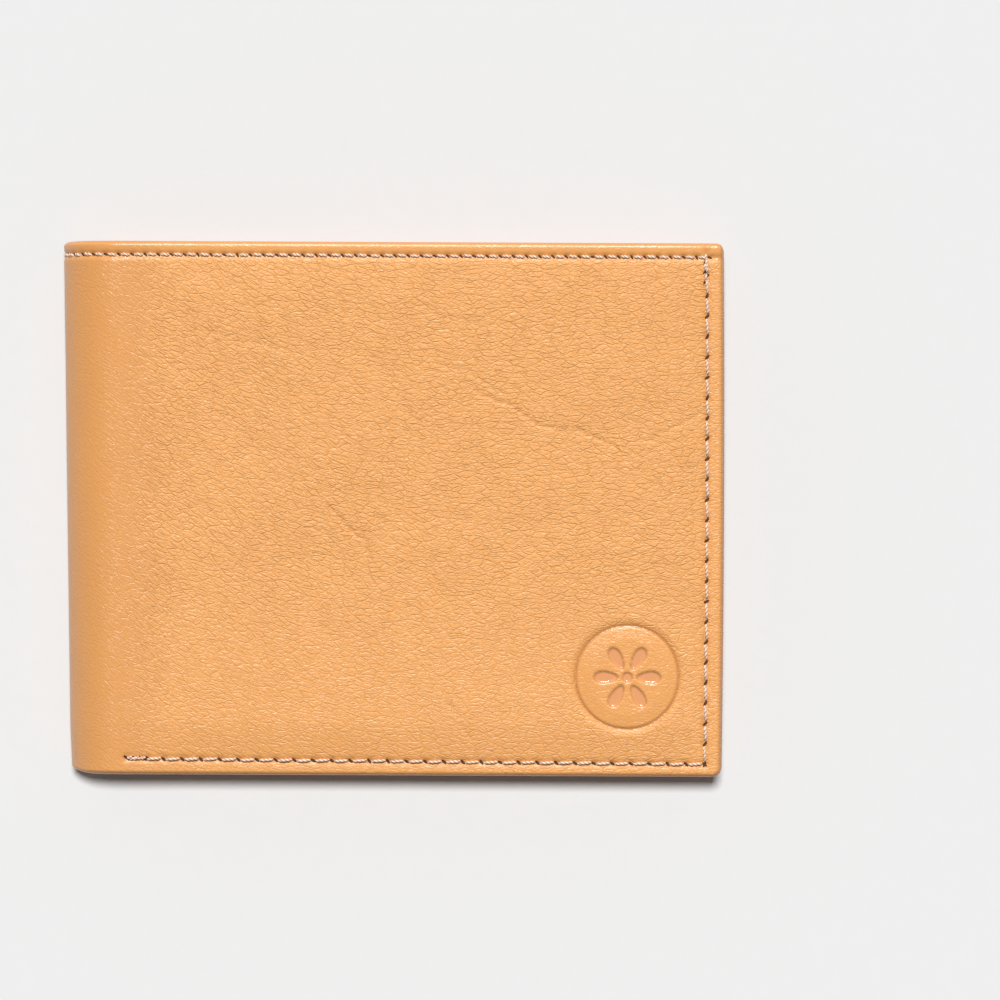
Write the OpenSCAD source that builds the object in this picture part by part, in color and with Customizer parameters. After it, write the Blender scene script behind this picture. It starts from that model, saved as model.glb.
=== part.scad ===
// Three-leaf leather wallet, closed and lying flat. A front cover and a back cover are joined
// by a rounded spine at -X. Inside each cover are a bill compartment, an inner panel and three
// card slots. A window flap is hinged on the back leaf's free edge.
// Origin: middle of the wallet's footprint, on the back cover's outer face.
// +X points to the sewn free edge, +Y to the mouth of the bill compartment, +Z up.
// All sizes are in millimetres.

/* [Wallet] */
// Closed width, from the spine to the free edge
wallet_w = 115; // [110:1:125]
// Height, from the bottom seam to the bill mouth
wallet_h = 93.5; // [93:0.5:100]
// Closed thickness
wallet_t = 20; // [20:0.5:24]
// Radius of the covers' free corners
corner_r = 1.2; // [0.6:0.2:3]

/* [Leather and fabric] */
// Cover leather thickness
cover_t = 1.2; // [1:0.1:1.2]
// Stiffener board thickness
stiffener_t = 0.5; // [0.4:0.1:0.6]
// Lining thickness
lining_t = 0.3; // [0.2:0.1:0.4]
// Thickness of the turned hem
hem_t = 0.8; // [0.6:0.1:0.8]
// Width of the turned hem
hem_w = 7; // [5:0.5:9]
// Bill divider thickness
divider_t = 0.4; // [0.3:0.1:0.4]
// Inner panel leather thickness
panel_t = 0.7; // [0.5:0.1:0.7]
// Card slot leather thickness
slot_t = 0.6; // [0.4:0.1:0.6]

/* [Pockets] */
// Free height for banknotes behind the inner panel
bill_gap = 0.6; // [0.4:0.1:0.6]
// Free height for a card in each slot
card_gap = 0.8; // [0.8:0.05:0.85]
// Free width for a card
card_w = 87; // [86.4:0.2:90]
// Depth of each card slot
slot_depth = 46; // [42:1:48]
// Step from one slot's edge to the next
slot_step = 12; // [10:1:13]
// Top edge of the lowest slot, from the wallet's middle
lowest_slot_y = 1; // [-2:1:2]

/* [Window flap] */
// Distance of the flap's free edge to the left of the wallet's middle
flap_reach = 13; // [12:0.5:13]
// Width of the window
window_w = 46; // [40:1:48]
// Height of the window
window_h = 74; // [60:1:76]
// Clear film thickness
film_t = 0.3; // [0.2:0.05:0.3]

/* [Sewing] */
// Thread radius
thread_r = 0.2; // [0.15:0.05:0.2]
// Stitch pitch of the top seam
top_pitch = 2.3; // [2:0.1:4]
// Stitch pitch of the side and bottom seams
side_pitch = 3.5; // [2.5:0.1:5]

/* [Medallion] */
// Diameter of the pressed ring on the front cover
medallion_d = 17.8; // [12:0.2:22]
// Depth of the pressing
press_depth = 0.3; // [0.1:0.05:0.4]

/* [Hidden] */
$fn = 96;

leather = "#EFAD6E";
inner_leather = "#E3A062";
lining_cloth = "#B98A5E";
board = "#C9B79A";
thread = "#F4E0C4";
clear = "#DCE6EA80";

// Edges of the wallet in plan
free_x = wallet_w / 2;
top_y = wallet_h / 2;
// The spine is a half round between the two covers
spine_r = wallet_t / 2;
spine_x = -free_x + spine_r;
// Angles round the spine run from straight down, towards -X. The hinge lines are at 30, 90 and
// 150 degrees, with a narrow gap at each so that the parts clear one another as they turn.
split_gap = 0.4;
half_gap = split_gap / 2 / spine_r * 180 / PI;
leaf_end = 30 - half_gap;
spine_start = 30 + half_gap;
spine_end = 90 - half_gap;
// Cut-through allowance for tools that pass an outer face
over = 0.5;

// Heights of the layers above the back cover's outer face
z_cover = cover_t;
z_board = z_cover + stiffener_t;
z_lining = z_board + lining_t;
z_hem = z_board + hem_t;
z_divider = z_hem + divider_t;
z_bills = z_divider + bill_gap;
z_panel = z_bills + panel_t;
slot_rise = card_gap + slot_t;
function z_slot(i) = z_panel + i * slot_rise;

// Plan limits of the layers
hem_x = free_x - hem_w;
hem_y = top_y - hem_w;
board_edge = 0.8;
board_x = spine_x + 1;
divider_top = top_y - 4.75;
panel_top = top_y - 6.75;
inner_x = free_x - 2;
inner_bottom = -top_y + 1.75;
slot_left = spine_x + 3.5;
card_left = (slot_left + inner_x) / 2 - card_w / 2 - 1;
function slot_top(i) = lowest_slot_y + (3 - i) * slot_step;

// Seams: grooves in the outer faces hold the thread
groove_w = 0.6;
groove_depth = 0.45;
top_seam_y = top_y - 2.4;
side_seam_x = free_x - 2.8;
bottom_seam_y = -top_y + 2.85;
bottom_seam_x = spine_x + 1;
stitch_share = 0.8;

// Flap: the hinge strip, then the flap's own layers from its base upwards
flap_hinge_x = free_x - 7.75;
hinge_gap = 0.25;
strip_z = z_slot(3) + 0.7;
flap_z = z_slot(3) + 0.3;
flap_left = -flap_reach;
flap_right = flap_hinge_x - hinge_gap;
pocket_right = flap_right - 3;
flap_bottom = -top_y + 3.75;
flap_top = top_y - 1.75;
flap_base_t = 0.7;
flap_gap_z = flap_z + flap_base_t;
film_z = flap_gap_z + card_gap;
frame_z = film_z + film_t;
frame_t = 0.7;
binding_w = 2.5;
binding_foot = 2;
frame_groove = 0.4;
frame_seam = 1.4;

// Medallion on the front cover
medallion_x = free_x - 16.6;
medallion_y = -top_y + 17.55;
ring_w = 0.6;
petal_r = 1.7;
petal_at = 3.7;

// ---- Plain shapes ----

// A box between two corners
module block(low, high) {
    translate(low) cube(high - low);
}

// Carries an X-Z outline along Y
module along_y(y0, y1) {
    translate([0, y1, 0]) rotate([90, 0, 0]) linear_extrude(y1 - y0) children();
}

// One layer's ring round the spine, between two heights of the flat layer
module spine_ring(z0, z1, from, to) {
    far = 2 * spine_r;
    translate([spine_x, spine_r]) intersection() {
        difference() {
            circle(spine_r - z0);
            circle(spine_r - z1);
        }
        polygon([[0, 0], [-far * sin(from), -far * cos(from)], [-far * sin(to), -far * cos(to)]]);
    }
}

// One layer of a leaf: flat from x_end to the spine, then round the start of the spine
module leaf_layer(z0, z1, x_end, y0, y1, to = leaf_end) {
    along_y(y0, y1) {
        translate([spine_x, z0]) square([x_end - spine_x, z1 - z0]);
        spine_ring(z0, z1, 0, to);
    }
}

// One layer of the spine's back half
module spine_layer(z0, z1, y0, y1, from = spine_start, to = spine_end) {
    along_y(y0, y1) spine_ring(z0, z1, from, to);
}

// Mirrors a back part to the front leaf
module front_side() {
    translate([0, 0, wallet_t]) mirror([0, 0, 1]) children();
}

// The leaf's plan, with round corners at the free edge
module leaf_plan() {
    linear_extrude(wallet_t) {
        translate([-free_x, -top_y]) square([wallet_w - corner_r, wallet_h]);
        translate([-free_x, -top_y + corner_r]) square([wallet_w, wallet_h - 2 * corner_r]);
        for (side = [-1, 1])
            translate([free_x - corner_r, side * (top_y - corner_r)]) circle(corner_r);
    }
}

// A row of stitches from one point to another, lying in the direction of the row
module stitch_row(from, to, pitch) {
    run = to - from;
    count = floor(norm(run) / pitch);
    bar = pitch * stitch_share;
    for (i = [0 : count - 1])
        translate(from + run * (i + 0.5) / count)
            rotate([0, 90, atan2(run[1], run[0])])
                cylinder(r = thread_r, h = bar, center = true);
}

// Stitches of the top seam round the spine
module spine_stitches(from, to) {
    span = to - from;
    count = floor(span * PI / 180 * spine_r / top_pitch);
    seat = spine_r - groove_depth + thread_r;
    for (i = [0 : count - 1])
        translate([spine_x, top_seam_y, spine_r])
            rotate([0, from + span * (i + 0.5) / count, 0])
                translate([0, 0, -seat]) rotate([0, 90, 0])
                    cylinder(r = thread_r, h = top_pitch * stitch_share, center = true);
}

// ---- Parts of a leaf, drawn for the back leaf ----

// Cover leather with its turned hem, the board's pocket and the sewing grooves
module leaf_cover() {
    intersection() {
        leaf_plan();
        difference() {
            leaf_layer(0, z_hem, free_x, -top_y, top_y);
            leaf_layer(z_cover, z_hem + over, hem_x, -hem_y, hem_y, leaf_end + 1);
            block([board_x, -top_y + board_edge, z_cover],
                  [free_x - board_edge, top_y - board_edge, z_board]);
            leaf_layer(-over, groove_depth, free_x + over, top_seam_y - groove_w / 2,
                       top_seam_y + groove_w / 2, leaf_end + 1);
            block([side_seam_x - groove_w / 2, -top_y - over, -over],
                  [side_seam_x + groove_w / 2, top_y + over, groove_depth]);
            block([bottom_seam_x, bottom_seam_y - groove_w / 2, -over],
                  [side_seam_x, bottom_seam_y + groove_w / 2, groove_depth]);
        }
    }
}

module leaf_board() {
    block([board_x, -top_y + board_edge, z_cover],
          [free_x - board_edge, top_y - board_edge, z_board]);
}

// Lining inside the hem. It is thicker at the spine, where there is no board.
module leaf_lining() {
    along_y(-hem_y, hem_y) {
        translate([spine_x, z_board]) square([hem_x - spine_x, z_lining - z_board]);
        translate([spine_x, z_cover]) square([board_x - spine_x, z_lining - z_cover]);
        spine_ring(z_cover, z_lining, 0, leaf_end);
    }
}

module leaf_divider() {
    leaf_layer(z_hem, z_divider, inner_x, inner_bottom, divider_top);
}

// Inner panel. Its edges at the right and bottom close the bill compartment.
module leaf_panel() {
    difference() {
        leaf_layer(z_divider, z_panel, inner_x, inner_bottom, panel_top);
        leaf_layer(z_divider - over, z_bills, inner_x - 3, inner_bottom + 2.5, panel_top + over,
                   leaf_end + 1);
    }
}

// Card slot i, from 1 (deepest) to 3. Its sides and floor close the pocket under it.
module card_slot(i) {
    pocket_floor = max(slot_top(i) - slot_depth, inner_bottom + 2);
    difference() {
        block([slot_left, inner_bottom, z_slot(i - 1)], [inner_x, slot_top(i), z_slot(i)]);
        block([card_left, pocket_floor, z_slot(i - 1) - over],
              [card_left + card_w, slot_top(i) + over, z_slot(i) - slot_t]);
    }
}

// Height of a leaf's inner face at a place along the side seam
function inner_face(y) =
    y < slot_top(3) ? z_slot(3) :
    y < slot_top(2) ? z_slot(2) :
    y < slot_top(1) ? z_slot(1) :
    y < panel_top ? z_panel : z_hem;

// Outer seams: top, side and bottom, and the top seam round the start of the spine
module outer_stitches() {
    seat = groove_depth - thread_r;
    stitch_row([spine_x, top_seam_y, seat], [free_x - 0.6, top_seam_y, seat], top_pitch);
    stitch_row([side_seam_x, bottom_seam_y + 1, seat], [side_seam_x, top_seam_y - 1, seat],
               side_pitch);
    stitch_row([bottom_seam_x, bottom_seam_y, seat], [side_seam_x - 1, bottom_seam_y, seat],
               side_pitch);
    spine_stitches(0, leaf_end);
}

// The same seams where they show inside the leaf
module inner_stitches(side_seam = true) {
    seat = z_slot(3) + thread_r;
    stitch_row([slot_left + 1, bottom_seam_y, seat], [side_seam_x - 1, bottom_seam_y, seat],
               side_pitch);
    bounds_y = [bottom_seam_y + 1, slot_top(3), slot_top(2), slot_top(1), panel_top];
    if (side_seam)
        for (i = [0 : 3]) {
            z = inner_face((bounds_y[i] + bounds_y[i + 1]) / 2) + thread_r;
            stitch_row([side_seam_x, bounds_y[i], z], [side_seam_x, bounds_y[i + 1], z],
                       side_pitch);
        }
}

// ---- Back leaf ----

module back_cover_leather() {
    color(leather) leaf_cover();
}

module back_stiffener() {
    color(board) leaf_board();
}

module back_lining() {
    color(lining_cloth) leaf_lining();
}

module back_bill_divider() {
    color(lining_cloth) leaf_divider();
}

module back_inner_panel() {
    color(inner_leather) leaf_panel();
}

module back_card_slot(i) {
    color(inner_leather) card_slot(i);
}

module back_seam_thread() {
    color(thread) {
        outer_stitches();
        inner_stitches(side_seam = false);
    }
}

// ---- Front leaf ----

// Pressed ring with a plain six-petal rosette
module medallion_pressing() {
    translate([medallion_x, medallion_y, -over]) {
        difference() {
            cylinder(d = medallion_d, h = press_depth + over);
            translate([0, 0, -over]) cylinder(d = medallion_d - 2 * ring_w, h = 3 * over);
        }
        for (i = [0 : 5])
            rotate([0, 0, 60 * i]) translate([petal_at, 0, 0])
                cylinder(r = petal_r, h = press_depth + over);
    }
}

module front_cover_leather() {
    color(leather) front_side() difference() {
        leaf_cover();
        medallion_pressing();
    }
}

module front_stiffener() {
    color(board) front_side() leaf_board();
}

module front_lining() {
    color(lining_cloth) front_side() leaf_lining();
}

module front_bill_divider() {
    color(lining_cloth) front_side() leaf_divider();
}

module front_inner_panel() {
    color(inner_leather) front_side() leaf_panel();
}

module front_card_slot(i) {
    color(inner_leather) front_side() card_slot(i);
}

module front_seam_thread() {
    color(thread) front_side() {
        outer_stitches();
        inner_stitches();
    }
}

// ---- Spine, drawn for its back half ----

module spine_half_leather() {
    difference() {
        spine_layer(0, z_hem, -top_y, top_y);
        spine_layer(z_cover, z_hem + over, -hem_y, hem_y, spine_start - 1, spine_end + 1);
        spine_layer(-over, groove_depth, top_seam_y - groove_w / 2, top_seam_y + groove_w / 2,
                    spine_start - 1, spine_end + 1);
    }
}

module spine_half_lining() {
    spine_layer(z_cover, z_lining, -hem_y, hem_y);
}

module spine_half_divider() {
    spine_layer(z_hem, z_divider, inner_bottom, divider_top);
}

module spine_half_panel() {
    spine_layer(z_bills, z_panel, inner_bottom, panel_top);
}

module spine_back_leather() {
    color(leather) spine_half_leather();
}

module spine_front_leather() {
    color(leather) front_side() spine_half_leather();
}

module spine_back_lining() {
    color(lining_cloth) spine_half_lining();
}

module spine_front_lining() {
    color(lining_cloth) front_side() spine_half_lining();
}

module spine_back_divider() {
    color(lining_cloth) spine_half_divider();
}

module spine_front_divider() {
    color(lining_cloth) front_side() spine_half_divider();
}

module spine_back_panel() {
    color(inner_leather) spine_half_panel();
}

module spine_front_panel() {
    color(inner_leather) front_side() spine_half_panel();
}

module spine_back_thread() {
    color(thread) spine_stitches(spine_start, spine_end);
}

module spine_front_thread() {
    color(thread) front_side() spine_stitches(spine_start, spine_end);
}

// ---- Window flap ----

// Strip sewn on the back leaf's free edge. Its underside follows the steps of the card slots.
module flap_hinge_strip() {
    color(inner_leather)
        for (i = [0 : 3]) {
            low_y = i == 3 ? flap_bottom : slot_top(i + 1);
            high_y = i == 0 ? panel_top : slot_top(i);
            block([flap_hinge_x + hinge_gap, low_y, z_slot(i)], [inner_x, high_y, strip_z]);
        }
}

module flap_base_leather() {
    color(inner_leather)
        block([flap_left, flap_bottom, flap_z], [flap_right, flap_top, flap_gap_z]);
}

// Spacer on three sides of the pocket, which is open at the top
module flap_edge_binding() {
    color(inner_leather) difference() {
        block([flap_left, flap_bottom, flap_gap_z], [pocket_right, flap_top, film_z]);
        block([flap_left + binding_w, flap_bottom + binding_foot, flap_gap_z - over],
              [pocket_right - binding_w, flap_top + over, film_z + over]);
    }
}

module flap_window_film() {
    color(clear) block([flap_left, flap_bottom, film_z], [pocket_right, flap_top, frame_z]);
}

module flap_window_frame() {
    middle = [(flap_left + pocket_right) / 2, (flap_bottom + flap_top) / 2];
    seam_low = [flap_left + frame_seam, flap_bottom + frame_seam];
    seam_high = [pocket_right - frame_seam, flap_top + over];
    half_groove = groove_w / 2;
    groove_z = frame_z + frame_t - frame_groove;
    color(inner_leather) difference() {
        block([flap_left, flap_bottom, frame_z], [pocket_right, flap_top, frame_z + frame_t]);
        block([middle[0] - window_w / 2, middle[1] - window_h / 2, frame_z - over],
              [middle[0] + window_w / 2, middle[1] + window_h / 2, frame_z + frame_t + over]);
        for (x = [seam_low[0], seam_high[0]])
            block([x - half_groove, seam_low[1] - half_groove, groove_z],
                  [x + half_groove, seam_high[1], frame_z + frame_t + over]);
        block([seam_low[0], seam_low[1] - half_groove, groove_z],
              [seam_high[0], seam_low[1] + half_groove, frame_z + frame_t + over]);
    }
}

module flap_seam_thread() {
    seat = frame_z + frame_t - frame_groove + thread_r;
    low = [flap_left + frame_seam, flap_bottom + frame_seam];
    high_x = pocket_right - frame_seam;
    color(thread) {
        for (x = [low[0], high_x])
            stitch_row([x, low[1] + 0.6, seat], [x, flap_top - 0.6, seat], side_pitch);
        stitch_row([low[0] + 0.6, low[1], seat], [high_x - 0.6, low[1], seat], side_pitch);
    }
}

back_cover_leather();
back_stiffener();
back_lining();
back_bill_divider();
back_inner_panel();
back_card_slot(1);  // back_card_slot_1
back_card_slot(2);  // back_card_slot_2
back_card_slot(3);  // back_card_slot_3
back_seam_thread();
front_cover_leather();
front_stiffener();
front_lining();
front_bill_divider();
front_inner_panel();
front_card_slot(1);  // front_card_slot_1
front_card_slot(2);  // front_card_slot_2
front_card_slot(3);  // front_card_slot_3
front_seam_thread();
spine_back_leather();
spine_front_leather();
spine_back_lining();
spine_front_lining();
spine_back_divider();
spine_front_divider();
spine_back_panel();
spine_front_panel();
spine_back_thread();
spine_front_thread();
flap_hinge_strip();
flap_base_leather();
flap_edge_binding();
flap_window_film();
flap_window_frame();
flap_seam_thread();
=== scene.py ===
import math

import bpy
import numpy as np
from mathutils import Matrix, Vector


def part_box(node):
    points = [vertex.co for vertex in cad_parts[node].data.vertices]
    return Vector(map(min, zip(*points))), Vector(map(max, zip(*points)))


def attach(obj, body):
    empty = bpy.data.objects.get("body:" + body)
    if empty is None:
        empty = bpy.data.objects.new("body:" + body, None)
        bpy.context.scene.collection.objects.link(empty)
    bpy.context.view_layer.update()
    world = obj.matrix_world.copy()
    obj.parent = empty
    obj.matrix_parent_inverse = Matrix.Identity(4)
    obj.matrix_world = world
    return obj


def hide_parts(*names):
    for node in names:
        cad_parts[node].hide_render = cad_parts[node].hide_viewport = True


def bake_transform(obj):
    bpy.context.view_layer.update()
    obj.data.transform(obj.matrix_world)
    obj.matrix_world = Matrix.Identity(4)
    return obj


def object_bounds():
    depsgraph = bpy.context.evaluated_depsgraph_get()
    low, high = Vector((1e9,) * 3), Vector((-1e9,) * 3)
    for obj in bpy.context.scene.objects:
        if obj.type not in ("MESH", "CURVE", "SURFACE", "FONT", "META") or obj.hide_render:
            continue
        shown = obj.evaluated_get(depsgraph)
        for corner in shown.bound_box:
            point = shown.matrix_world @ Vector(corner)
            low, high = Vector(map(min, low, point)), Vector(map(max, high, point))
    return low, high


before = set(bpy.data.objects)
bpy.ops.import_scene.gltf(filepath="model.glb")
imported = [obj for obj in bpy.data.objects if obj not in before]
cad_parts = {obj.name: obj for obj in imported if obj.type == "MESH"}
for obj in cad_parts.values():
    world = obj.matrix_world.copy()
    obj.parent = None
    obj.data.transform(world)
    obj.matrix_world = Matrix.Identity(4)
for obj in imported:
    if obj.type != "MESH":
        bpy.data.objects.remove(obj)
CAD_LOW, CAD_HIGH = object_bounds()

MM = 0.001


# ---- Places taken from the CAD frame ----

def box_mm(node):
    """Lowest and highest corner of a CAD node, in millimetres."""
    low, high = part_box(node)
    return np.array(low) / MM, np.array(high) / MM


FREE_X = CAD_HIGH.x / MM  # free edge
TOP_Y = CAD_HIGH.y / MM  # bill mouth; the bottom is at -TOP_Y
THICK = CAD_HIGH.z / MM
SPINE_R = THICK / 2
SPINE_X = -FREE_X + SPINE_R  # where the covers start to bend
FLAT = FREE_X - SPINE_X  # flat length of a cover
BEND = math.pi * SPINE_R  # length of the bend on the outer face
TOTAL = 2 * FLAT + BEND  # free edge to free edge round the outside


def depth_of(node, edge):
    """Depth below the front cover's outer face of a front node's outer or inner side."""
    low, high = box_mm(node)
    return THICK - (high[2] if edge == "outer" else low[2])


# Depths of the layers, from the outer face inwards
D_LEATHER = depth_of("front_stiffener", "outer")
D_BOARD = depth_of("front_stiffener", "inner")
D_HEM = depth_of("front_bill_divider", "outer")
D_DIVIDER = depth_of("front_inner_panel", "outer")
D_PANEL = depth_of("front_card_slot_1", "outer")
D_SLOTS = [depth_of(f"front_card_slot_{i}", "inner") for i in (1, 2, 3)]
LINING_T, PANEL_T, SLOT_T = 0.3, 0.7, 0.6  # thicknesses
D_LINING = D_BOARD + LINING_T

# Edges of the inner layers
DIVIDER_TOP = box_mm("back_bill_divider")[1][1]
PANEL_LOW, PANEL_HIGH = box_mm("back_inner_panel")
SLOT_TOPS = [box_mm(f"back_card_slot_{i}")[1][1] for i in (1, 2, 3)]
INNER_V = FREE_X - PANEL_HIGH[0]  # inner layers start this far from the free edge
INNER_BOTTOM = PANEL_LOW[1]
PANEL_TOP = PANEL_HIGH[1]
SLOT_END_V = FREE_X - box_mm("back_card_slot_1")[0][0]
SLOT_SEAM_V = SLOT_END_V - 2.0  # the row of stitches that closes the slots
HEM_W = FREE_X - box_mm("front_lining")[1][0]

# The window flap and the strip it hangs on
STRIP_LOW, STRIP_HIGH = box_mm("flap_hinge_strip")
FLAP_LOW, FLAP_HIGH = box_mm("flap_base_leather")
BINDING_LOW, BINDING_HIGH = box_mm("flap_edge_binding")
FILM_LOW, FILM_HIGH = box_mm("flap_window_film")
FRAME_LOW, FRAME_HIGH = box_mm("flap_window_frame")
D_STRIP = STRIP_HIGH[2]


# ---- Small numeric helpers ----

def smooth(t):
    """0 below 0, 1 above 1, and a smooth step between."""
    t = np.clip(t, 0, 1)
    return t * t * (3 - 2 * t)


def bell(distance, width):
    """1 at no distance, falling smoothly to 0 over about two widths."""
    return np.exp(-(distance / width) ** 2)


def lines(*spans):
    """Grid lines from (start, end, step) spans that follow on from each other."""
    parts = [np.linspace(a, b, max(2, round((b - a) / step) + 1)) for a, b, step in spans]
    return np.unique(np.round(np.concatenate(parts), 6))


def edged(low, high, rim, fine, coarse, last=None):
    """Grid lines that are fine along both rims, the second as fine as `last`."""
    return lines((low, low + rim, fine), (low + rim, high - rim, coarse),
                 (high - rim, high, last or fine))


def fade(t):
    """A step from 0 to 1 that is smooth enough for a relief made of noise."""
    return t * t * t * (t * (t * 6 - 15) + 10)


def noise(a, b, size, seed):
    """Smooth noise from -1 to 1 with features about `size` millimetres wide."""
    table = np.random.default_rng(seed).uniform(-1, 1, (256, 256))
    a, b = a / size, b / size
    i, j = np.floor(a).astype(int), np.floor(b).astype(int)
    f, g = fade(a - i), fade(b - j)
    low = table[i % 256, j % 256] * (1 - f) + table[(i + 1) % 256, j % 256] * f
    high = table[i % 256, (j + 1) % 256] * (1 - f) + table[(i + 1) % 256, (j + 1) % 256] * f
    return low * (1 - g) + high * g


def from_line(x, y, points):
    """Signed distance from a bent line through the points, and how far along it the nearest
    point lies, from 0 to 1."""
    best, share = np.full(np.shape(x), 1e9), np.zeros(np.shape(x))
    steps = len(points) - 1
    for k in range(steps):
        (ax, ay), (bx, by) = points[k], points[k + 1]
        dx, dy = bx - ax, by - ay
        t = np.clip(((x - ax) * dx + (y - ay) * dy) / (dx * dx + dy * dy), 0, 1)
        d = np.hypot(x - ax - t * dx, y - ay - t * dy)
        side = np.sign((x - ax) * dy - (y - ay) * dx)
        near = d < np.abs(best)
        best = np.where(near, d * np.where(side == 0, 1, side), best)
        share = np.where(near, (k + t) / steps, share)
    return best, share


# ---- The wallet's surface ----
# u runs round the outside from the front free edge (0), over the front cover, the spine and
# the back cover, to the back free edge (TOTAL). y is the frame's y. depth is measured inwards.

SPINE_LEAN = 1.7  # the bend pulls in towards the bottom
SPINE_OUT = 0.8  # and stands out at the top
FREE_EDGE_BOW = 0.25
SPINE_END_TOP, SPINE_END_BOTTOM = 0.10, 0.8  # the ends of the bend draw in at its widest place


def from_free(u):
    """Distance from the nearer free edge."""
    return np.minimum(u, TOTAL - u)


def place(u, y, depth):
    """Points in millimetres in the frame's own axes."""
    v = from_free(u)
    angle = np.clip((u - FLAT) / SPINE_R, 0, math.pi)
    radius = SPINE_R - depth
    x = SPINE_X + np.maximum(FLAT - v, 0) - radius * np.sin(angle)
    x = x + (SPINE_LEAN * (1 - y / TOP_Y) / 2 - SPINE_OUT) * np.sin(angle)
    x = x - FREE_EDGE_BOW * (y / TOP_Y) ** 2 * smooth(1 - v / 20)
    draw = np.where(y > 0, -SPINE_END_TOP, SPINE_END_BOTTOM) * (np.abs(y) / TOP_Y) ** 12
    y = y + draw * np.sin(angle) ** 6
    return np.stack([x, y, SPINE_R + radius * np.cos(angle)], -1)


# The layers are sewn flat along the free edge and the bottom, so they are thinner there.
# Each layer's inner side, and the share of its thickness it keeps where it is sewn: leather
# keeps most, and pockets close up.
EDGE_SINK = 0.8
STACK = [(D_LEATHER, 0.92), (D_BOARD, 0.9), (D_LINING, 0.9), (D_HEM, 0.85), (D_DIVIDER, 0.8),
         (D_PANEL - PANEL_T, 0.35), (D_PANEL, 0.92)]
for slot_depth in D_SLOTS:
    STACK += [(slot_depth - SLOT_T, 0.45), (slot_depth, 0.92)]
STACK.append((D_STRIP, 0.92))
FULL_DEPTH, SEWN_DEPTH = [0.0], [EDGE_SINK]
for layer_depth, kept in STACK:
    SEWN_DEPTH.append(SEWN_DEPTH[-1] + (layer_depth - FULL_DEPTH[-1]) * kept)
    FULL_DEPTH.append(layer_depth)
PILLOW = 10.0  # width over which an edge thins
NEAR_BEND = 14.0  # the ends thin less this close to the bend


def pinch(u, y):
    """1 where the layers are sewn together, 0 where they are full."""
    v = from_free(u)
    spine = smooth((v - FLAT + NEAR_BEND) / NEAR_BEND)
    free = 1 - smooth(v / PILLOW)
    bottom = (1 - smooth((y + TOP_Y) / PILLOW)) * (1 - 0.75 * spine)
    top = (1 - smooth((TOP_Y - y) / PILLOW)) * (0.45 - 0.4 * spine)
    return 1 - (1 - free) * (1 - bottom) * (1 - top)


def level(depth, u, y):
    """Where a layer that is `depth` deep lies, once the edges are pinched."""
    sewn = np.interp(depth, FULL_DEPTH, SEWN_DEPTH)
    return depth + (sewn - depth) * pinch(u, y)


def layer(depth):
    """A face at this depth, as a function of (u, y)."""
    return lambda u, y: level(depth, u, y)


def surface_of(face):
    """Points of a face whose depth is a function of (u, y)."""
    return lambda u, y: place(u, y, face(u, y))


def outward_normal(surface, u, y, step):
    """Unit normals of a surface, on its outer side."""
    du = surface(u + step, y) - surface(u - step, y)
    dy = surface(u, y + step) - surface(u, y - step)
    normal = -np.cross(du, dy)
    return normal / np.linalg.norm(normal, axis=1, keepdims=True)


# ---- Seams ----

TOP_PITCH = 2.3
SIDE_PITCH = 3.56
BOTTOM_PITCH = 3.27
SIDE_SEAM_V = 2.8  # distance of the side seam from the free edge
BOTTOM_START_V = FREE_X + 46.7  # where the bottom seam starts, next to the spine


def top_seam_y(u):
    """The top seam drops a little towards the free edge."""
    return TOP_Y - 2.5 + 0.1 * from_free(u) / FLAT


def bottom_seam_y(u):
    """The bottom seam also drops a little towards the free edge."""
    return -TOP_Y + 2.35 + 0.6 * from_free(u) / FLAT


SIDE_BOTTOM = float(bottom_seam_y(SIDE_SEAM_V))
SIDE_TOP = TOP_Y - 0.7


def groove(across, width, stitches, plain, extra):
    """Depth of a sewing groove. `stitches` counts along it, with a needle hole at each whole
    number, where the groove is deeper by `extra`."""
    at_hole = 0.5 + 0.5 * np.cos(2 * math.pi * stitches)
    return (plain + extra * at_hole) * bell(across, width)


def seam_relief(u, y):
    """How far the outer face is drawn in along the seams."""
    v = from_free(u)
    top = groove(y - top_seam_y(u), 0.55, u / TOP_PITCH, 0.26, 0.22)
    side = groove(v - SIDE_SEAM_V, 0.6, (y - SIDE_BOTTOM) / SIDE_PITCH, 0.16, 0.18)
    side = side * smooth(y - SIDE_BOTTOM + 1) * smooth(SIDE_TOP + 1 - y)
    bottom = groove(y - bottom_seam_y(u), 0.6, (v - SIDE_SEAM_V) / BOTTOM_PITCH, 0.16, 0.18)
    bottom = bottom * smooth(BOTTOM_START_V + 1 - v) * smooth(v - SIDE_SEAM_V + 1)
    return np.maximum(np.maximum(top, side), bottom)


# ---- Marks on the front cover ----

MEDALLION = (FREE_X - 16.6, -TOP_Y + 17.55)
RING_R = 9.05
PETALS = 6
PETAL_AT = 3.75  # from the rosette's centre to a petal's middle
PETAL_LONG, PETAL_WIDE = 2.3, 1.12  # half its length and half its width
CENTRE_R = 0.95
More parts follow.
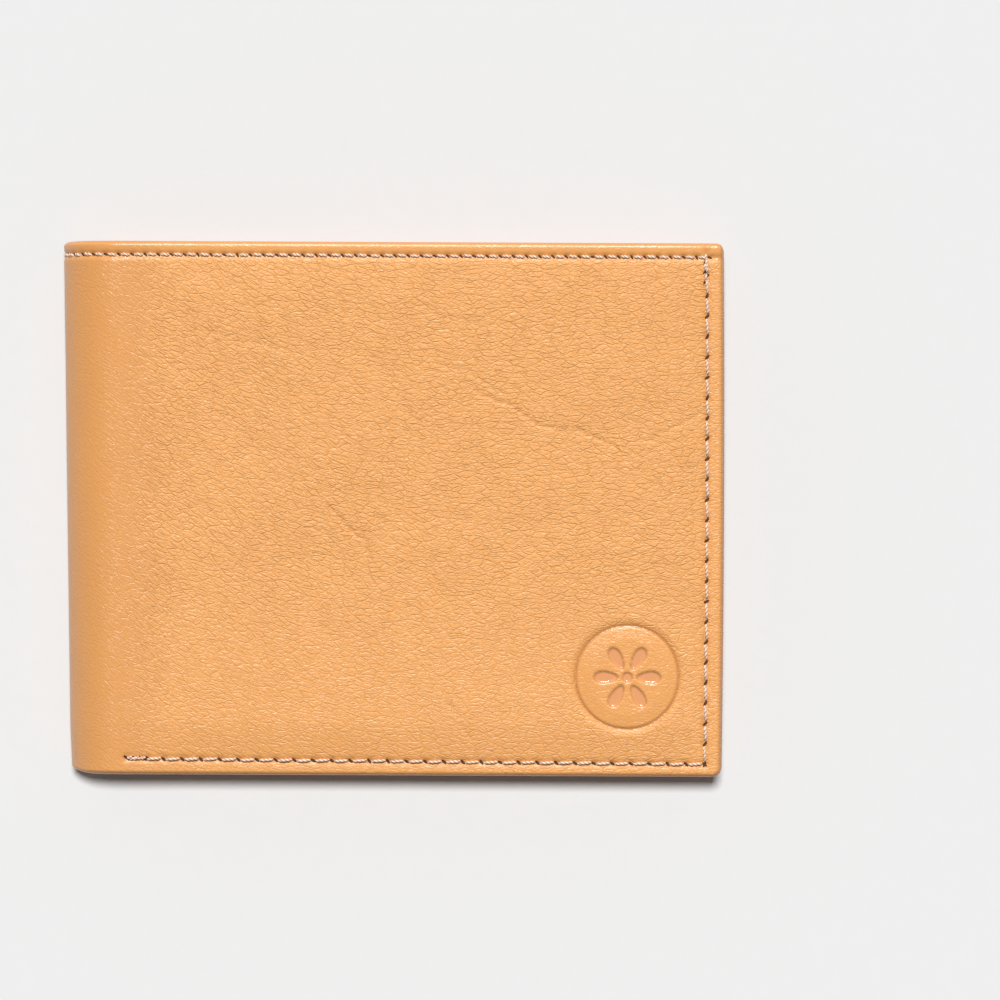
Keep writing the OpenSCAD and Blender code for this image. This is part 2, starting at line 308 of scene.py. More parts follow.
# Creases on the front cover, as bent lines: points, depth, width
CREASES = [
    ([(9.0, 23.6), (16.2, 20.1), (19.1, 18.3), (22.0, 16.6), (25.0, 14.9), (32.5, 13.3),
      (39.5, 10.6), (43.5, 9.9)], 0.32, 0.25),
    ([(6.0, 26.0), (12.0, 24.2), (17.0, 21.4), (21.0, 18.6)], 0.14, 0.30),
    ([(38.5, 10.8), (44.0, 12.6), (50.0, 15.0), (54.5, 17.4)], 0.15, 0.32),
    ([(40.0, 9.2), (46.0, 11.0), (52.0, 13.6)], 0.10, 0.30),
    ([(24.0, 16.6), (30.0, 15.4), (36.0, 15.2), (43.0, 17.0)], 0.06, 0.30),
    ([(-12.0, 1.2), (-10.8, -0.4), (-8.4, -2.6), (-6.5, -4.5), (-4.3, -6.6), (-3.6, -11.0)], 0.34, 0.26),
    ([(-9.6, -3.0), (-6.0, -3.6), (-3.5, -5.6)], 0.24, 0.26),
    ([(9.0, -33.5), (11.5, -36.5), (13.2, -40.5)], 0.18, 0.32),
    ([(-1.0, 36.8), (12.0, 33.0), (24.0, 31.4)], 0.07, 0.5),
    ([(-38.0, 33.0), (-27.0, 29.0), (-18.0, 27.6)], 0.07, 0.5),
]


def rosette(x, y):
    """1 inside a plain six-petal rosette and its centre, 0 outside, with soft sides."""
    x, y = x - MEDALLION[0], y - MEDALLION[1]
    r, turn = np.hypot(x, y), np.arctan2(y, x)
    sector = 2 * math.pi / PETALS
    local = (turn + sector / 2) % sector - sector / 2
    along, across = r * np.cos(local) - PETAL_AT, r * np.sin(local)
    petal = 1 - np.hypot(along / PETAL_LONG, across / (PETAL_WIDE + 0.14 * along))
    centre = 1 - r / CENTRE_R
    return smooth(np.maximum(petal, centre) / 0.20)


def medallion_relief(x, y):
    """Depth of the pressed ring, its soft shoulder, the low dome inside and the rosette."""
    r = np.hypot(x - MEDALLION[0], y - MEDALLION[1])
    ring = 0.34 * bell(r - RING_R, 0.19)
    shoulder = 0.26 * (1 - smooth((r - RING_R) / 1.4)) * (r >= RING_R)
    dome = (0.20 - 0.20 * smooth((RING_R - r) / 3.0)) * (r < RING_R)
    return ring + shoulder + dome + 0.34 * rosette(x, y)


def crease_relief(x, y):
    """Depth of the creases, each with a low ridge beside it, faded out at its ends."""
    depth = 0
    x, y = x + 0.5 * noise(x, y, 2.5, 11), y + 0.5 * noise(x, y, 2.5, 12)
    for points, deep, wide in CREASES:
        d, share = from_line(x, y, points)
        ends = smooth(share / 0.15) * smooth((1 - share) / 0.2)
        across = 1.3 * bell(d, wide) - 0.9 * bell(d - 1.6 * wide, 1.5 * wide)
        depth = depth + ends * deep * across
    return depth


def cover_relief(u, y):
    """Seams, soft swells and wrinkles, and the front cover's marks."""
    v = from_free(u)
    x = FREE_X - v
    calm = smooth((TOP_Y - 4 - np.abs(y)) / 4) * smooth((v - 4) / 4)
    swell = 0.04 * noise(u, y, 24, 1) + 0.012 * noise(u, 1.6 * y, 9, 2)
    wrinkle = 0.006 * noise(u - 0.4 * y, 2.2 * y, 2.4, 3)
    relief = seam_relief(u, y) + calm * (swell + wrinkle)
    marks = medallion_relief(x, y) + crease_relief(x, y)
    return relief + np.where(u < FLAT, marks, 0.0)


def cover_outer(u, y):
    """Depth of the cover's outer face."""
    return level(0.0, u, y) + np.maximum(cover_relief(u, y), 0.0)


def cover_inner(u, y):
    """Depth of the cover's inner face. The turned hem stands above the lining."""
    v = from_free(u)
    inside = smooth((v - HEM_W) / 0.6) * smooth((TOP_Y - HEM_W - np.abs(y)) / 0.6)
    return level(D_HEM, u, y) * (1 - inside) + level(D_LEATHER, u, y) * inside


# ---- Mesh building ----

def add_object(name, data):
    """Puts a mesh, lamp or camera in the scene."""
    new = bpy.data.objects.new(name, data)
    bpy.context.scene.collection.objects.link(new)
    return new


def make_mesh(name, points, faces, uv=None, values=None, slots=None):
    """A smooth-shaded object from points in millimetres. uv is per point, in millimetres."""
    mesh = bpy.data.meshes.new(name)
    mesh.from_pydata((np.asarray(points) * MM).tolist(), [], faces)
    mesh.polygons.foreach_set("use_smooth", np.ones(len(mesh.polygons), bool))
    if slots is not None:
        mesh.polygons.foreach_set("material_index", slots)
    if uv is not None:
        corner = np.zeros(len(mesh.loops), np.int32)
        mesh.loops.foreach_get("vertex_index", corner)
        hide = mesh.uv_layers.new(name="Hide")
        hide.data.foreach_set("uv", (np.asarray(uv)[corner] * MM).astype(np.float32).ravel())
    for key, value in (values or {}).items():
        mesh.attributes.new(key, "FLOAT", "POINT").data.foreach_set("value", value.astype(np.float32))
    mesh.update()
    return add_object(name, mesh)


def round_corners(U, Y, radii):
    """Moves a grid's points near its four corners onto round corners of these radii."""
    u_mid, y_mid = (U[0, 0] + U[-1, 0]) / 2, (Y[0, 0] + Y[0, -1]) / 2
    u_half, y_half = abs(U[-1, 0] - U[0, 0]) / 2, abs(Y[0, -1] - Y[0, 0]) / 2
    p, q = U - u_mid, Y - y_mid
    r = np.where(p < 0, np.where(q < 0, radii[0], radii[1]), np.where(q < 0, radii[2], radii[3]))
    dx, dy = np.abs(p) - (u_half - r), np.abs(q) - (y_half - r)
    corner = (dx > 0) & (dy > 0)
    scale = np.where(corner, np.maximum(dx, dy) / np.maximum(np.hypot(dx, dy), 1e-9), 1.0)
    p = np.where(corner, np.sign(p) * (u_half - r + dx * scale), p)
    q = np.where(corner, np.sign(q) * (y_half - r + dy * scale), q)
    return p + u_mid, q + y_mid


def border_of(rows, columns):
    """Positions round the edge of a grid, in order."""
    south = [(i, 0) for i in range(rows)]
    east = [(rows - 1, j) for j in range(1, columns)]
    north = [(i, columns - 1) for i in range(rows - 2, -1, -1)]
    west = [(0, j) for j in range(columns - 2, 0, -1)]
    return south + east + north + west


def outward(edge, at_open, at_corner):
    """Unit directions out of a sheet's edge line, and none along an open end."""
    tangent = np.roll(edge, -1, 0) - np.roll(edge, 1, 0)
    normal = np.stack([tangent[:, 1], -tangent[:, 0]], -1)
    normal[at_open, 0] = 0
    normal[at_open & ~at_corner] = 0
    return normal / np.maximum(np.linalg.norm(normal, axis=1, keepdims=True), 1e-9)


def join_inside(loop, ring, at_open, inside, rows_in, cols_in):
    """Faces between the last ring and the inner face. The ring is as fine as the outer face,
    so each edge of the coarser inner face takes several of its points."""
    count = len(loop)
    on_rim = {(i, j): int(inside[a, b]) for a, i in enumerate(rows_in) for b, j in enumerate(cols_in)}
    stops = [k for k, position in enumerate(loop) if position in on_rim]
    faces = []
    for a, b in zip(stops, stops[1:] + [stops[0] + count]):
        span = [k % count for k in range(a, b + 1)]
        if not all(at_open[k] for k in span):
            faces.append([int(ring[k]) for k in span] + [on_rim[loop[b % count]], on_rim[loop[a]]])
    return faces


def shell(name, us, ys, outer, inner, corners=(0, 0, 0, 0), open_ends=(False, False), nose=0.3,
          thin_out=1, rings=5, values=None, shape=None):
    """A closed leather or cloth sheet. us and ys are grid lines out to the true edges, and
    outer and inner give the depth of its two faces. Its edges are round, `nose` deep, except
    at an open end, where another piece goes on. thin_out leaves out lines on the inner face."""
    us, ys = np.array(us, float), np.array(ys, float)
    us[0] += 0 if open_ends[0] else nose
    us[-1] -= 0 if open_ends[1] else nose
    ys[0] += nose
    ys[-1] -= nose
    us, ys = np.unique(np.maximum.accumulate(us)), np.unique(np.maximum.accumulate(ys))
    rows, columns = len(us), len(ys)
    U, Y = round_corners(*np.meshgrid(us, ys, indexing="ij"), corners)
    if shape:
        U, Y = shape(U, Y)
    points = [place(U, Y, outer(U, Y)).reshape(-1, 3)]
    uv = [np.stack([U, Y], -1).reshape(-1, 2)]
    at = np.arange(rows * columns).reshape(rows, columns)
    quads = np.stack([at[:-1, :-1], at[:-1, 1:], at[1:, 1:], at[1:, :-1]], -1)
    faces = quads.reshape(-1, 4).tolist()

    loop = border_of(rows, columns)
    I, J = np.array(loop).T
    edge = np.stack([U[I, J], Y[I, J]], -1)
    at_open = ((I == 0) & open_ends[0]) | ((I == rows - 1) & open_ends[1])
    normal = outward(edge, at_open, (J == 0) | (J == columns - 1))
    top, low = outer(edge[:, 0], edge[:, 1]), inner(edge[:, 0], edge[:, 1])
    count, start, ring = len(loop), rows * columns, at[I, J]
    skip = at_open & np.roll(at_open, -1)
    for k in range(1, rings + 1):
        turn = math.pi * k / (rings + 1)
        out = edge + normal * nose * math.sin(turn)
        depth = top + (low - top) * (1 - math.cos(turn)) / 2
        points.append(place(out[:, 0], out[:, 1], depth))
        uv.append(out)
        before, ring = ring, start + np.arange(count)
        quads = np.stack([before, np.roll(before, -1), np.roll(ring, -1), ring], -1)
        faces += quads[~skip].tolist()
        start += count

    rows_in = np.unique(np.r_[np.arange(0, rows, thin_out), rows - 1])
    cols_in = np.unique(np.r_[np.arange(0, columns, thin_out), columns - 1])
    Ui, Yi = U[np.ix_(rows_in, cols_in)], Y[np.ix_(rows_in, cols_in)]
    points.append(place(Ui, Yi, inner(Ui, Yi)).reshape(-1, 3))
    uv.append(np.stack([Ui, Yi], -1).reshape(-1, 2))
    inside = start + np.arange(Ui.size).reshape(Ui.shape)
    quads = np.stack([inside[:-1, :-1], inside[1:, :-1], inside[1:, 1:], inside[:-1, 1:]], -1)
    faces += quads.reshape(-1, 4).tolist()
    faces += join_inside(loop, ring, at_open, inside, rows_in, cols_in)

    points, uv = np.concatenate(points), np.concatenate(uv)
    per_point = {key: value(uv[:, 0], uv[:, 1]) for key, value in (values or {}).items()}
    per_point["Edge"] = np.zeros(len(points))
    per_point["Edge"][rows * columns + count:start - count] = 1
    piece = make_mesh(name, points, faces, uv, per_point)
    if any(open_ends):
        faces_at = [(U, Y, at, outer, 1), (Ui, Yi, inside, inner, -1)]
        match_open_ends(piece, faces_at, open_ends)
    return piece


def match_open_ends(piece, faces_at, open_ends):
    """Gives an open end the normals that the surface would have if it went on, so that no
    join shows. faces_at lists each face's grid, point numbers, depth, and 1 or -1 for the
    outer or the inner side."""
    mesh = piece.data
    normals = np.zeros(len(mesh.vertices) * 3, np.float32)
    mesh.vertex_normals.foreach_get("vector", normals)
    normals = normals.reshape(-1, 3)
    for U, Y, at, face, way in faces_at:
        for row_at in [end for end, is_open in zip((0, -1), open_ends) if is_open]:
            found = outward_normal(surface_of(face), U[row_at], Y[row_at], step=0.2) * way
            normals[at[row_at][1:-1]] = found[1:-1]
    mesh.normals_split_custom_set_from_vertices(normals.tolist())


# ---- Pieces that cross the spine ----
# Each is built as a front, spine and back length, and each length takes the third of the bend at one hinge.

THIRD = BEND / 3
# Where each length lies on the sheet
LENGTHS = {"front": (0, FLAT + THIRD),
           "spine": (FLAT + THIRD, FLAT + 2 * THIRD),
           "back": (FLAT + 2 * THIRD, TOTAL)}
# The bodies it bends between, and where in the bend, in degrees from straight down
HINGES = {"front": ("spine_front", "front_leaf", 120, 180),
          "spine": ("spine_back", "spine_front", 60, 120),
          "back": ("back_leaf", "spine_back", 0, 60)}


def hang(piece, part, nodes):
    """Puts a length in place of its CAD nodes, with its transform applied. `nodes` holds what the
    CAD calls it on a leaf and on the spine."""
    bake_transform(piece)
    if part == "spine":
        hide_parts(f"spine_back_{nodes[1]}", f"spine_front_{nodes[1]}")
    else:
        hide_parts(f"{part}_{nodes[0]}")


def spread(name, us, ys, outer, inner, depth, nodes, slot, material, corners=None, **options):
    """Builds the three lengths of a layer. us and corners hold each length's grid lines and
    corner radii, and ys does too, or is the same for all. hang() takes nodes, and shell() takes
    the options. depth is not used."""
    for part in HINGES:
        if corners:
            options["corners"] = corners[part]
        lines_y = ys[part] if isinstance(ys, dict) else ys
        piece = shell(f"{name}_{part}", us[part], lines_y, outer, inner, open_ends=OPEN[part], **options)
        hang(piece, part, nodes)
        piece.data.materials.append(material)


def part_lines(v_free, fine, coarse, fine_to=6):
    """u grid lines of the three lengths of a layer that starts v_free from the free edge. They
    are fine as far as 6 mm from it, and as far as fine_to on the front."""
    bend = (FLAT, FLAT + THIRD, coarse)
    plain = lines((v_free, 6, fine), (6, FLAT, coarse), bend)
    return {"front": lines((v_free, fine_to, fine), (fine_to, FLAT, coarse), bend),
            "spine": lines((*LENGTHS["spine"], coarse)),
            "back": TOTAL - plain[::-1]}


# Which ends of each length run on into the next, and its corners' radii
OPEN = {"front": (False, True), "spine": (True, True), "back": (True, False)}
CORNER_R = {"front": (0.6, 0.15, 0, 0), "spine": (0, 0, 0, 0), "back": (0, 0, 0.6, 0.15)}


# ---- Materials ----

class Nodes:
    """Short calls for building a material's node tree. A value is a number or another node's
    output."""

    def __init__(self, name):
        self.material = bpy.data.materials.new(name)
        self.material.use_nodes = True
        self.tree = self.material.node_tree
        self.shader = self.tree.nodes["Principled BSDF"]

    def add(self, kind, inputs=None, **settings):
        node = self.tree.nodes.new(kind)
        for key, value in settings.items():
            setattr(node, key, value)
        for key, value in (inputs or {}).items():
            self.set(node.inputs[key], value)
        return node

    def set(self, socket, value):
        if isinstance(value, bpy.types.NodeSocket):
            self.tree.links.new(value, socket)
        else:
            socket.default_value = value

    def math(self, operation, a, b):
        return self.add("ShaderNodeMath", {0: a, 1: b}, operation=operation).outputs[0]

    def times(self, a, b):
        return self.math("MULTIPLY", a, b)

    def minus(self, a, b):
        return self.math("SUBTRACT", a, b)

    def remap(self, value, low, high, to_low=0.0, to_high=1.0, kind="SMOOTHSTEP"):
        return self.add("ShaderNodeMapRange", {"Value": value, "From Min": low, "From Max": high,
                        "To Min": to_low, "To Max": to_high}, interpolation_type=kind).outputs[0]

    def mix(self, share, a, b):
        node = self.add("ShaderNodeMix", {"Factor": share}, data_type="RGBA")
        self.set(node.inputs[6], a)
        self.set(node.inputs[7], b)
        return node.outputs[2]

    def hide_plane(self, stretch=(1.0, 1.0), turn=0.0):
        """The sheet's own plane in millimetres, turned and stretched."""
        uv = self.add("ShaderNodeUVMap", uv_map="Hide").outputs[0]
        turned = self.add("ShaderNodeMapping", {"Vector": uv, "Rotation": (0, 0, math.radians(turn))})
        scale = (stretch[0] / MM, stretch[1] / MM, 1)
        return self.add("ShaderNodeMapping", {"Vector": turned.outputs[0], "Scale": scale}).outputs[0]

    def noise(self, vector, scale, detail, rough):
        return self.add("ShaderNodeTexNoise", {"Vector": vector, "Scale": scale, "Detail": detail,
                        "Roughness": rough}, noise_dimensions="2D").outputs[0]

    def solid_noise(self, scale, detail=2.0):
        """Noise through the whole solid, for pieces with no plane of their own."""
        where = self.add("ShaderNodeTexCoord").outputs["Object"]
        inputs = {"Vector": where, "Scale": scale, "Detail": detail}
        return self.add("ShaderNodeTexNoise", inputs).outputs[0]

    def cell_edges(self, vector):
        """Distance to the nearest edge between cells about 1 wide."""
        return self.add("ShaderNodeTexVoronoi", {"Vector": vector, "Scale": 1.0},
                        voronoi_dimensions="2D", feature="DISTANCE_TO_EDGE").outputs["Distance"]

    def warped(self, vector, scale, amount):
        """The vector moved about by smooth noise."""
        wander = self.add("ShaderNodeTexNoise", {"Vector": vector, "Scale": scale, "Detail": 2.0},
                          noise_dimensions="2D").outputs["Color"]
        shift = self.vector_math("SUBTRACT", {0: wander, 1: (0.5, 0.5, 0.5)})
        grown = self.vector_math("SCALE", {0: shift, "Scale": amount})
        return self.vector_math("ADD", {0: vector, 1: grown})

    def vector_math(self, operation, inputs):
        return self.add("ShaderNodeVectorMath", inputs, operation=operation).outputs[0]

    def bump(self, height, distance, strength):
        inputs = {"Height": height, "Distance": distance, "Strength": strength}
        return self.add("ShaderNodeBump", inputs).outputs[0]

    def attribute(self, name):
        return self.add("ShaderNodeAttribute", attribute_name=name).outputs["Fac"]

    def finish(self, **inputs):
        for key, value in inputs.items():
            self.set(self.shader.inputs[key.replace("_", " ")], value)
        return self.material


def rgb(*srgb):
    """A colour from sRGB numbers of 0 to 255."""
    shares = [c / 255 for c in srgb]
    return (*[c / 12.92 if c <= 0.04045 else ((c + 0.055) / 1.055) ** 2.4 for c in shares], 1.0)


# The second colour is painted shade: a dark brown for the pressed lines, creases, seams and spine.
PRESSED, PAINTED_SHADE = rgb(218, 152, 116), rgb(132, 74, 34)
FLOW_FROM, FLOW_FALL = 38.0, 0.0042  # where the grain starts to run down, and how fast


def grain_plane(n):
    """The sheet's plane with the grain's flow taken out: level near the free edge, and running
    down towards the spine."""
    plane = n.hide_plane()
    parts = n.add("ShaderNodeSeparateXYZ", {"Vector": plane})
    u, y = parts.outputs[0], parts.outputs[1]
    v = n.math("MINIMUM", u, n.minus(TOTAL, u))
    past = n.math("MAXIMUM", n.minus(v, FLOW_FROM), 0.0)
    fall = n.times(n.math("POWER", past, 2.0), FLOW_FALL)
    flowing = n.add("ShaderNodeCombineXYZ", {0: u, 1: n.minus(y, fall)}).outputs[0]
    return n.warped(flowing, 0.08, 2.6)


def grain_lines(n, plane, size, width, seed):
    """Thin valleys between pebbles of leather. size is a pebble's length and height."""
    scale = (1 / size[0], 1 / size[1], 1)
    cells = n.add("ShaderNodeMapping", {"Vector": plane, "Scale": scale, "Location": (seed, seed, 0)})
    distance = n.cell_edges(n.warped(cells.outputs[0], 1.3, 0.55))
    return n.remap(distance, 0.0, width, 1.0, 0.0)


def leather(name, base, dark, light, grain=1.0, roughness=0.46, pressed=False):
    """Full-grain leather: pebbles with thin branching valleys, fine pores, soft mottling, with painted
    highlight on the crests and painted shade in the valleys. A pressed leather also takes the cover's
    masks for smooth places (also darkened as painted shade), pressed places and painted shade."""
    n = Nodes(name)
    plane = grain_plane(n)
    broken = n.remap(n.noise(plane, 0.42, 2.0, 0.5), 0.36, 0.60, 0.65, 1.0)
    coarse = n.times(grain_lines(n, plane, (2.3, 1.0), 0.13, 3.0), broken)
    middle = grain_lines(n, plane, (1.5, 0.62), 0.17, 17.0)
    fine = n.noise(plane, 2.6, 3.0, 0.6)
    patch = n.remap(n.noise(plane, 0.055, 2.0, 0.5), 0.32, 0.62, 0.88, 1.0)
    if pressed:
        # The smooth mask also darkens the colour below, as painted shade.
        flat = n.attribute("SmoothAndShade")
        press = n.attribute("Press")
        patch = n.times(patch, n.minus(1.0, flat))
    valley = n.math("MAXIMUM", n.times(coarse, 0.95), n.times(middle, 0.48))
    valley = n.times(valley, patch)
    height = n.minus(n.times(fine, 0.35), valley)
    mottle = n.noise(n.hide_plane(), 0.06, 3.0, 0.55)
    colour = n.mix(n.remap(mottle, 0.3, 0.7, 0.94, 1.0), dark, base)
    # The grain's tone is partly its own and partly painted light: the higher fine grain is painted lighter
    # as a highlight, and the valleys darker as shade.
    colour = n.mix(n.times(n.remap(fine, 0.45, 0.75), 0.3 * grain), colour, light)
    colour = n.mix(n.times(valley, 0.05 * grain), colour, dark)
    colour = n.mix(n.times(n.attribute("Edge"), 0.55), colour, dark)
    rough = n.remap(fine, 0.3, 0.7, roughness + 0.05, roughness - 0.05, "LINEAR")
    if pressed:
        rough = n.minus(rough, n.times(flat, 0.18))
        # Painted shade: the colour darkens where the smooth mask is high, most round the spine.
        colour = n.mix(n.times(flat, 0.15), colour, dark)
        colour = n.mix(n.times(press, 0.5), colour, PRESSED)
        # Painted shade: dark brown in the ring groove, the rosette's outline, the creases, the sewing
        # grooves and round the spine.
        colour = n.mix(n.times(n.attribute("PaintedShade"), 0.8), colour, PAINTED_SHADE)
        rough = n.minus(rough, n.times(press, 0.16))
        height = n.times(height, n.minus(1.0, press))
    normal = n.bump(height, 0.00012 * grain, 0.95)
    return n.finish(Base_Color=colour, Roughness=rough, Normal=normal, Specular_IOR_Level=0.5)


def twill(name, base, dark):
    """Woven lining: fine diagonal ribs over a crossing thread."""
    n = Nodes(name)
    plane = n.hide_plane()
    ribs = n.add("ShaderNodeTexWave", {"Vector": n.warped(plane, 0.6, 0.12), "Scale": 0.55,
                 "Distortion": 0.2, "Detail": 1.0}, bands_direction="DIAGONAL").outputs["Fac"]
    cross = n.add("ShaderNodeTexWave", {"Vector": n.hide_plane(turn=90), "Scale": 0.9,
                  "Distortion": 0.3}, bands_direction="X").outputs["Fac"]
    weave = n.math("ADD", n.times(ribs, 0.7), n.times(cross, 0.3))
    slub = n.noise(plane, 0.35, 3.0, 0.6)
    colour = n.mix(n.times(weave, n.remap(slub, 0.2, 0.8, 0.7, 1.0)), dark, base)
    normal = n.bump(weave, 0.00012, 0.8)
    return n.finish(Base_Color=colour, Roughness=n.remap(weave, 0, 1, 0.85, 0.68), Normal=normal,
                    Sheen_Weight=0.25, Sheen_Roughness=0.4)


def thread_material(name, base, dark):
    """Waxed, twisted thread. Its plies are in the mesh; the fibres are here, and the grooves between the
    plies are painted dark as shade.
    """
    n = Nodes(name)
    fibre = n.solid_noise(5200.0)
    ply = n.remap(n.attribute("Ply"), 0.0, 1.0)
    share = n.math("ADD", n.times(ply, 0.75), n.times(fibre, 0.25))
    # Painted shade: the dark colour fills the grooves between the plies, and the base colour their crests.
    colour = n.mix(share, dark, base)
    return n.finish(Base_Color=colour, Roughness=n.remap(fibre, 0.3, 0.7, 0.55, 0.38),
                    Normal=n.bump(fibre, 0.00003, 0.6), Sheen_Weight=0.15)


def speckled(name, dark, light, scale, detail, **shader):
    """A matt stuff with nothing but a fine speckle."""
    n = Nodes(name)
    return n.finish(Base_Color=n.mix(n.solid_noise(scale, detail), dark, light), **shader)


def board_material():
    """Pressed fibre board."""
    n = Nodes("fibre_board")
    fibre = n.solid_noise(900.0, 4.0)
    return n.finish(Base_Color=n.mix(fibre, rgb(176, 158, 128), rgb(214, 198, 168)),
                    Roughness=n.remap(fibre, 0.2, 0.8, 0.8, 0.95), Normal=n.bump(fibre, 0.00006, 0.6))


def film_material():
    """Clear soft film with faint rubbing marks."""
    n = Nodes("clear_film")
    haze = n.noise(n.hide_plane(stretch=(0.2, 1.0), turn=30), 0.8, 4.0, 0.65)
    wave = n.noise(n.hide_plane(), 0.06, 1.0, 0.4)
    n.material.surface_render_method = "BLENDED"
    return n.finish(Base_Color=n.mix(haze, rgb(226, 232, 236), rgb(243, 246, 248)),
                    Roughness=n.remap(haze, 0.4, 0.8, 0.06, 0.22), Alpha=0.09, IOR=1.6,
                    Normal=n.bump(wave, 0.0006, 0.5))


# The light colour paints highlight on the grain's crests. The dark colour gives the mottling and edges, and
# paints shade in the valleys and round the spine.
COVER = leather("cover_leather", rgb(233, 165, 95), rgb(194, 124, 66), rgb(247, 190, 126),
                pressed=True)
INNER = leather("inner_leather", rgb(212, 142, 80), rgb(160, 98, 50), rgb(226, 160, 98), grain=0.7)
LINING = twill("lining_twill", rgb(176, 128, 80), rgb(138, 94, 54))
# The thread's second colour is the painted shade between its plies.
THREAD = thread_material("cream_thread", rgb(252, 228, 204), rgb(146, 80, 56))
# Painted shade: the needle holes are dark ovals laid on the leather, not real holes.
HOLE_SHADE = speckled("painted_hole_shade", rgb(62, 30, 14), rgb(104, 58, 32), 4000.0, 2.0, Roughness=0.9)
DIVIDER = twill("divider_cloth", rgb(190, 142, 92), rgb(150, 104, 62))
BOARD = board_material()
FILM = film_material()
# Paper. It is mid grey because its own light is strong.
FLOOR = speckled("floor_paper", (0.455, 0.455, 0.455, 1), (0.465, 0.465, 0.465, 1), 300.0, 3.0,
                 Roughness=0.95, Specular_IOR_Level=0.0)


# ---- The cover ----

def press_mask(u, y):
    """1 where the rosette is pressed."""
    return np.where(u < FLAT, rosette(FREE_X - u, y), 0.0)


def smooth_and_shade_mask(u, y):
    """Where the grain is pressed or pulled smooth: spine, hems, medallion, and less towards
    the bottom. The cover's colour also darkens by it, as painted shade, most round the spine."""
    v = from_free(u)
    spine = 0.72 * smooth((v - FLAT + 8) / 9)
    hem = 0.85 * smooth((y - top_seam_y(u) + 0.9) / 0.8)
    side = 0.5 * smooth((SIDE_SEAM_V - v) / 0.8)
    foot = 0.5 * smooth((bottom_seam_y(u) - y) / 0.8)
    r = np.hypot(FREE_X - u - MEDALLION[0], y - MEDALLION[1])
    disc = np.where(u < FLAT, 0.75 * (1 - smooth((r - RING_R) / 0.8)), 0)
    low = 0.35 * smooth((-y - 8) / 22)
    mask = np.maximum.reduce([spine, hem, side, foot, disc, low])
    return np.maximum(mask, press_mask(u, y))


def painted_shade_mask(u, y):
    """Painted shade in the pressed lines, creases and sewing grooves, and round the spine."""
    x = FREE_X - u
    r = np.hypot(x - MEDALLION[0], y - MEDALLION[1])
    edge = rosette(x, y)
    marks = np.maximum(0.75 * bell(r - RING_R, 0.16), 1.6 * edge * (1 - edge))
    marks = np.maximum(marks, 0.65 * np.maximum(crease_relief(x, y), 0))
    v = from_free(u)
    seams = np.maximum(0.22 * smooth(seam_relief(u, y) / 0.4), 0.13 * smooth((v - FLAT + 10) / 9))
    return np.maximum(np.where(u < FLAT, marks, 0.0), seams)


COVER_NOSE = 0.75  # how far the rolled edge comes out


def build_cover():
    """The cover leather. The grid is fine at the edges and, on the front, at the medallion."""
    fine, coarse = ((0.25, 0.42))
    low, high = -TOP_Y + 0.2, TOP_Y - 0.5
    medallion_top = MEDALLION[1] + 11
    plain = edged(low, high, 5, fine, coarse)
    front = lines((low, medallion_top, fine), (medallion_top, high - 5, coarse), (high - 5, high, fine))
    # The masks give the pressed rosette, the smooth places that also take painted shade, and the painted
    # shade in grooves, creases and round the spine.
    spread("cover", part_lines(0, fine, coarse, fine_to=28),
           {"front": front, "spine": plain, "back": plain}, cover_outer, cover_inner, D_HEM,
           ("cover_leather", "leather"), "cover_leather", COVER, corners=CORNER_R,
           nose=COVER_NOSE, thin_out=4, rings=7,
           values={"Press": press_mask, "SmoothAndShade": smooth_and_shade_mask, "PaintedShade": painted_shade_mask})


# ---- Thread ----

THREAD_R = 0.25
PLY_TURN = 1.5  # length of a full twist
STITCH_RINGS, STITCH_SIDES = 14, 10


def stitch_axes(surface, starts, ends, side_out):
    """Middles and lengths of stitches on a surface, and their along, side and up directions."""
    a, b = surface(starts[:, 0], starts[:, 1]), surface(ends[:, 0], ends[:, 1])
    u, y = ((starts + ends) / 2).T
    middle = (a + b) / 4 + surface(u, y) / 2
    up = outward_normal(surface, u, y, step=0.15) * side_out
    length = np.linalg.norm(b - a, axis=1)
    along = (b - a) / length[:, None]
    side = np.cross(up, along)
    side /= np.linalg.norm(side, axis=1, keepdims=True)
    return middle, length, along, side, up


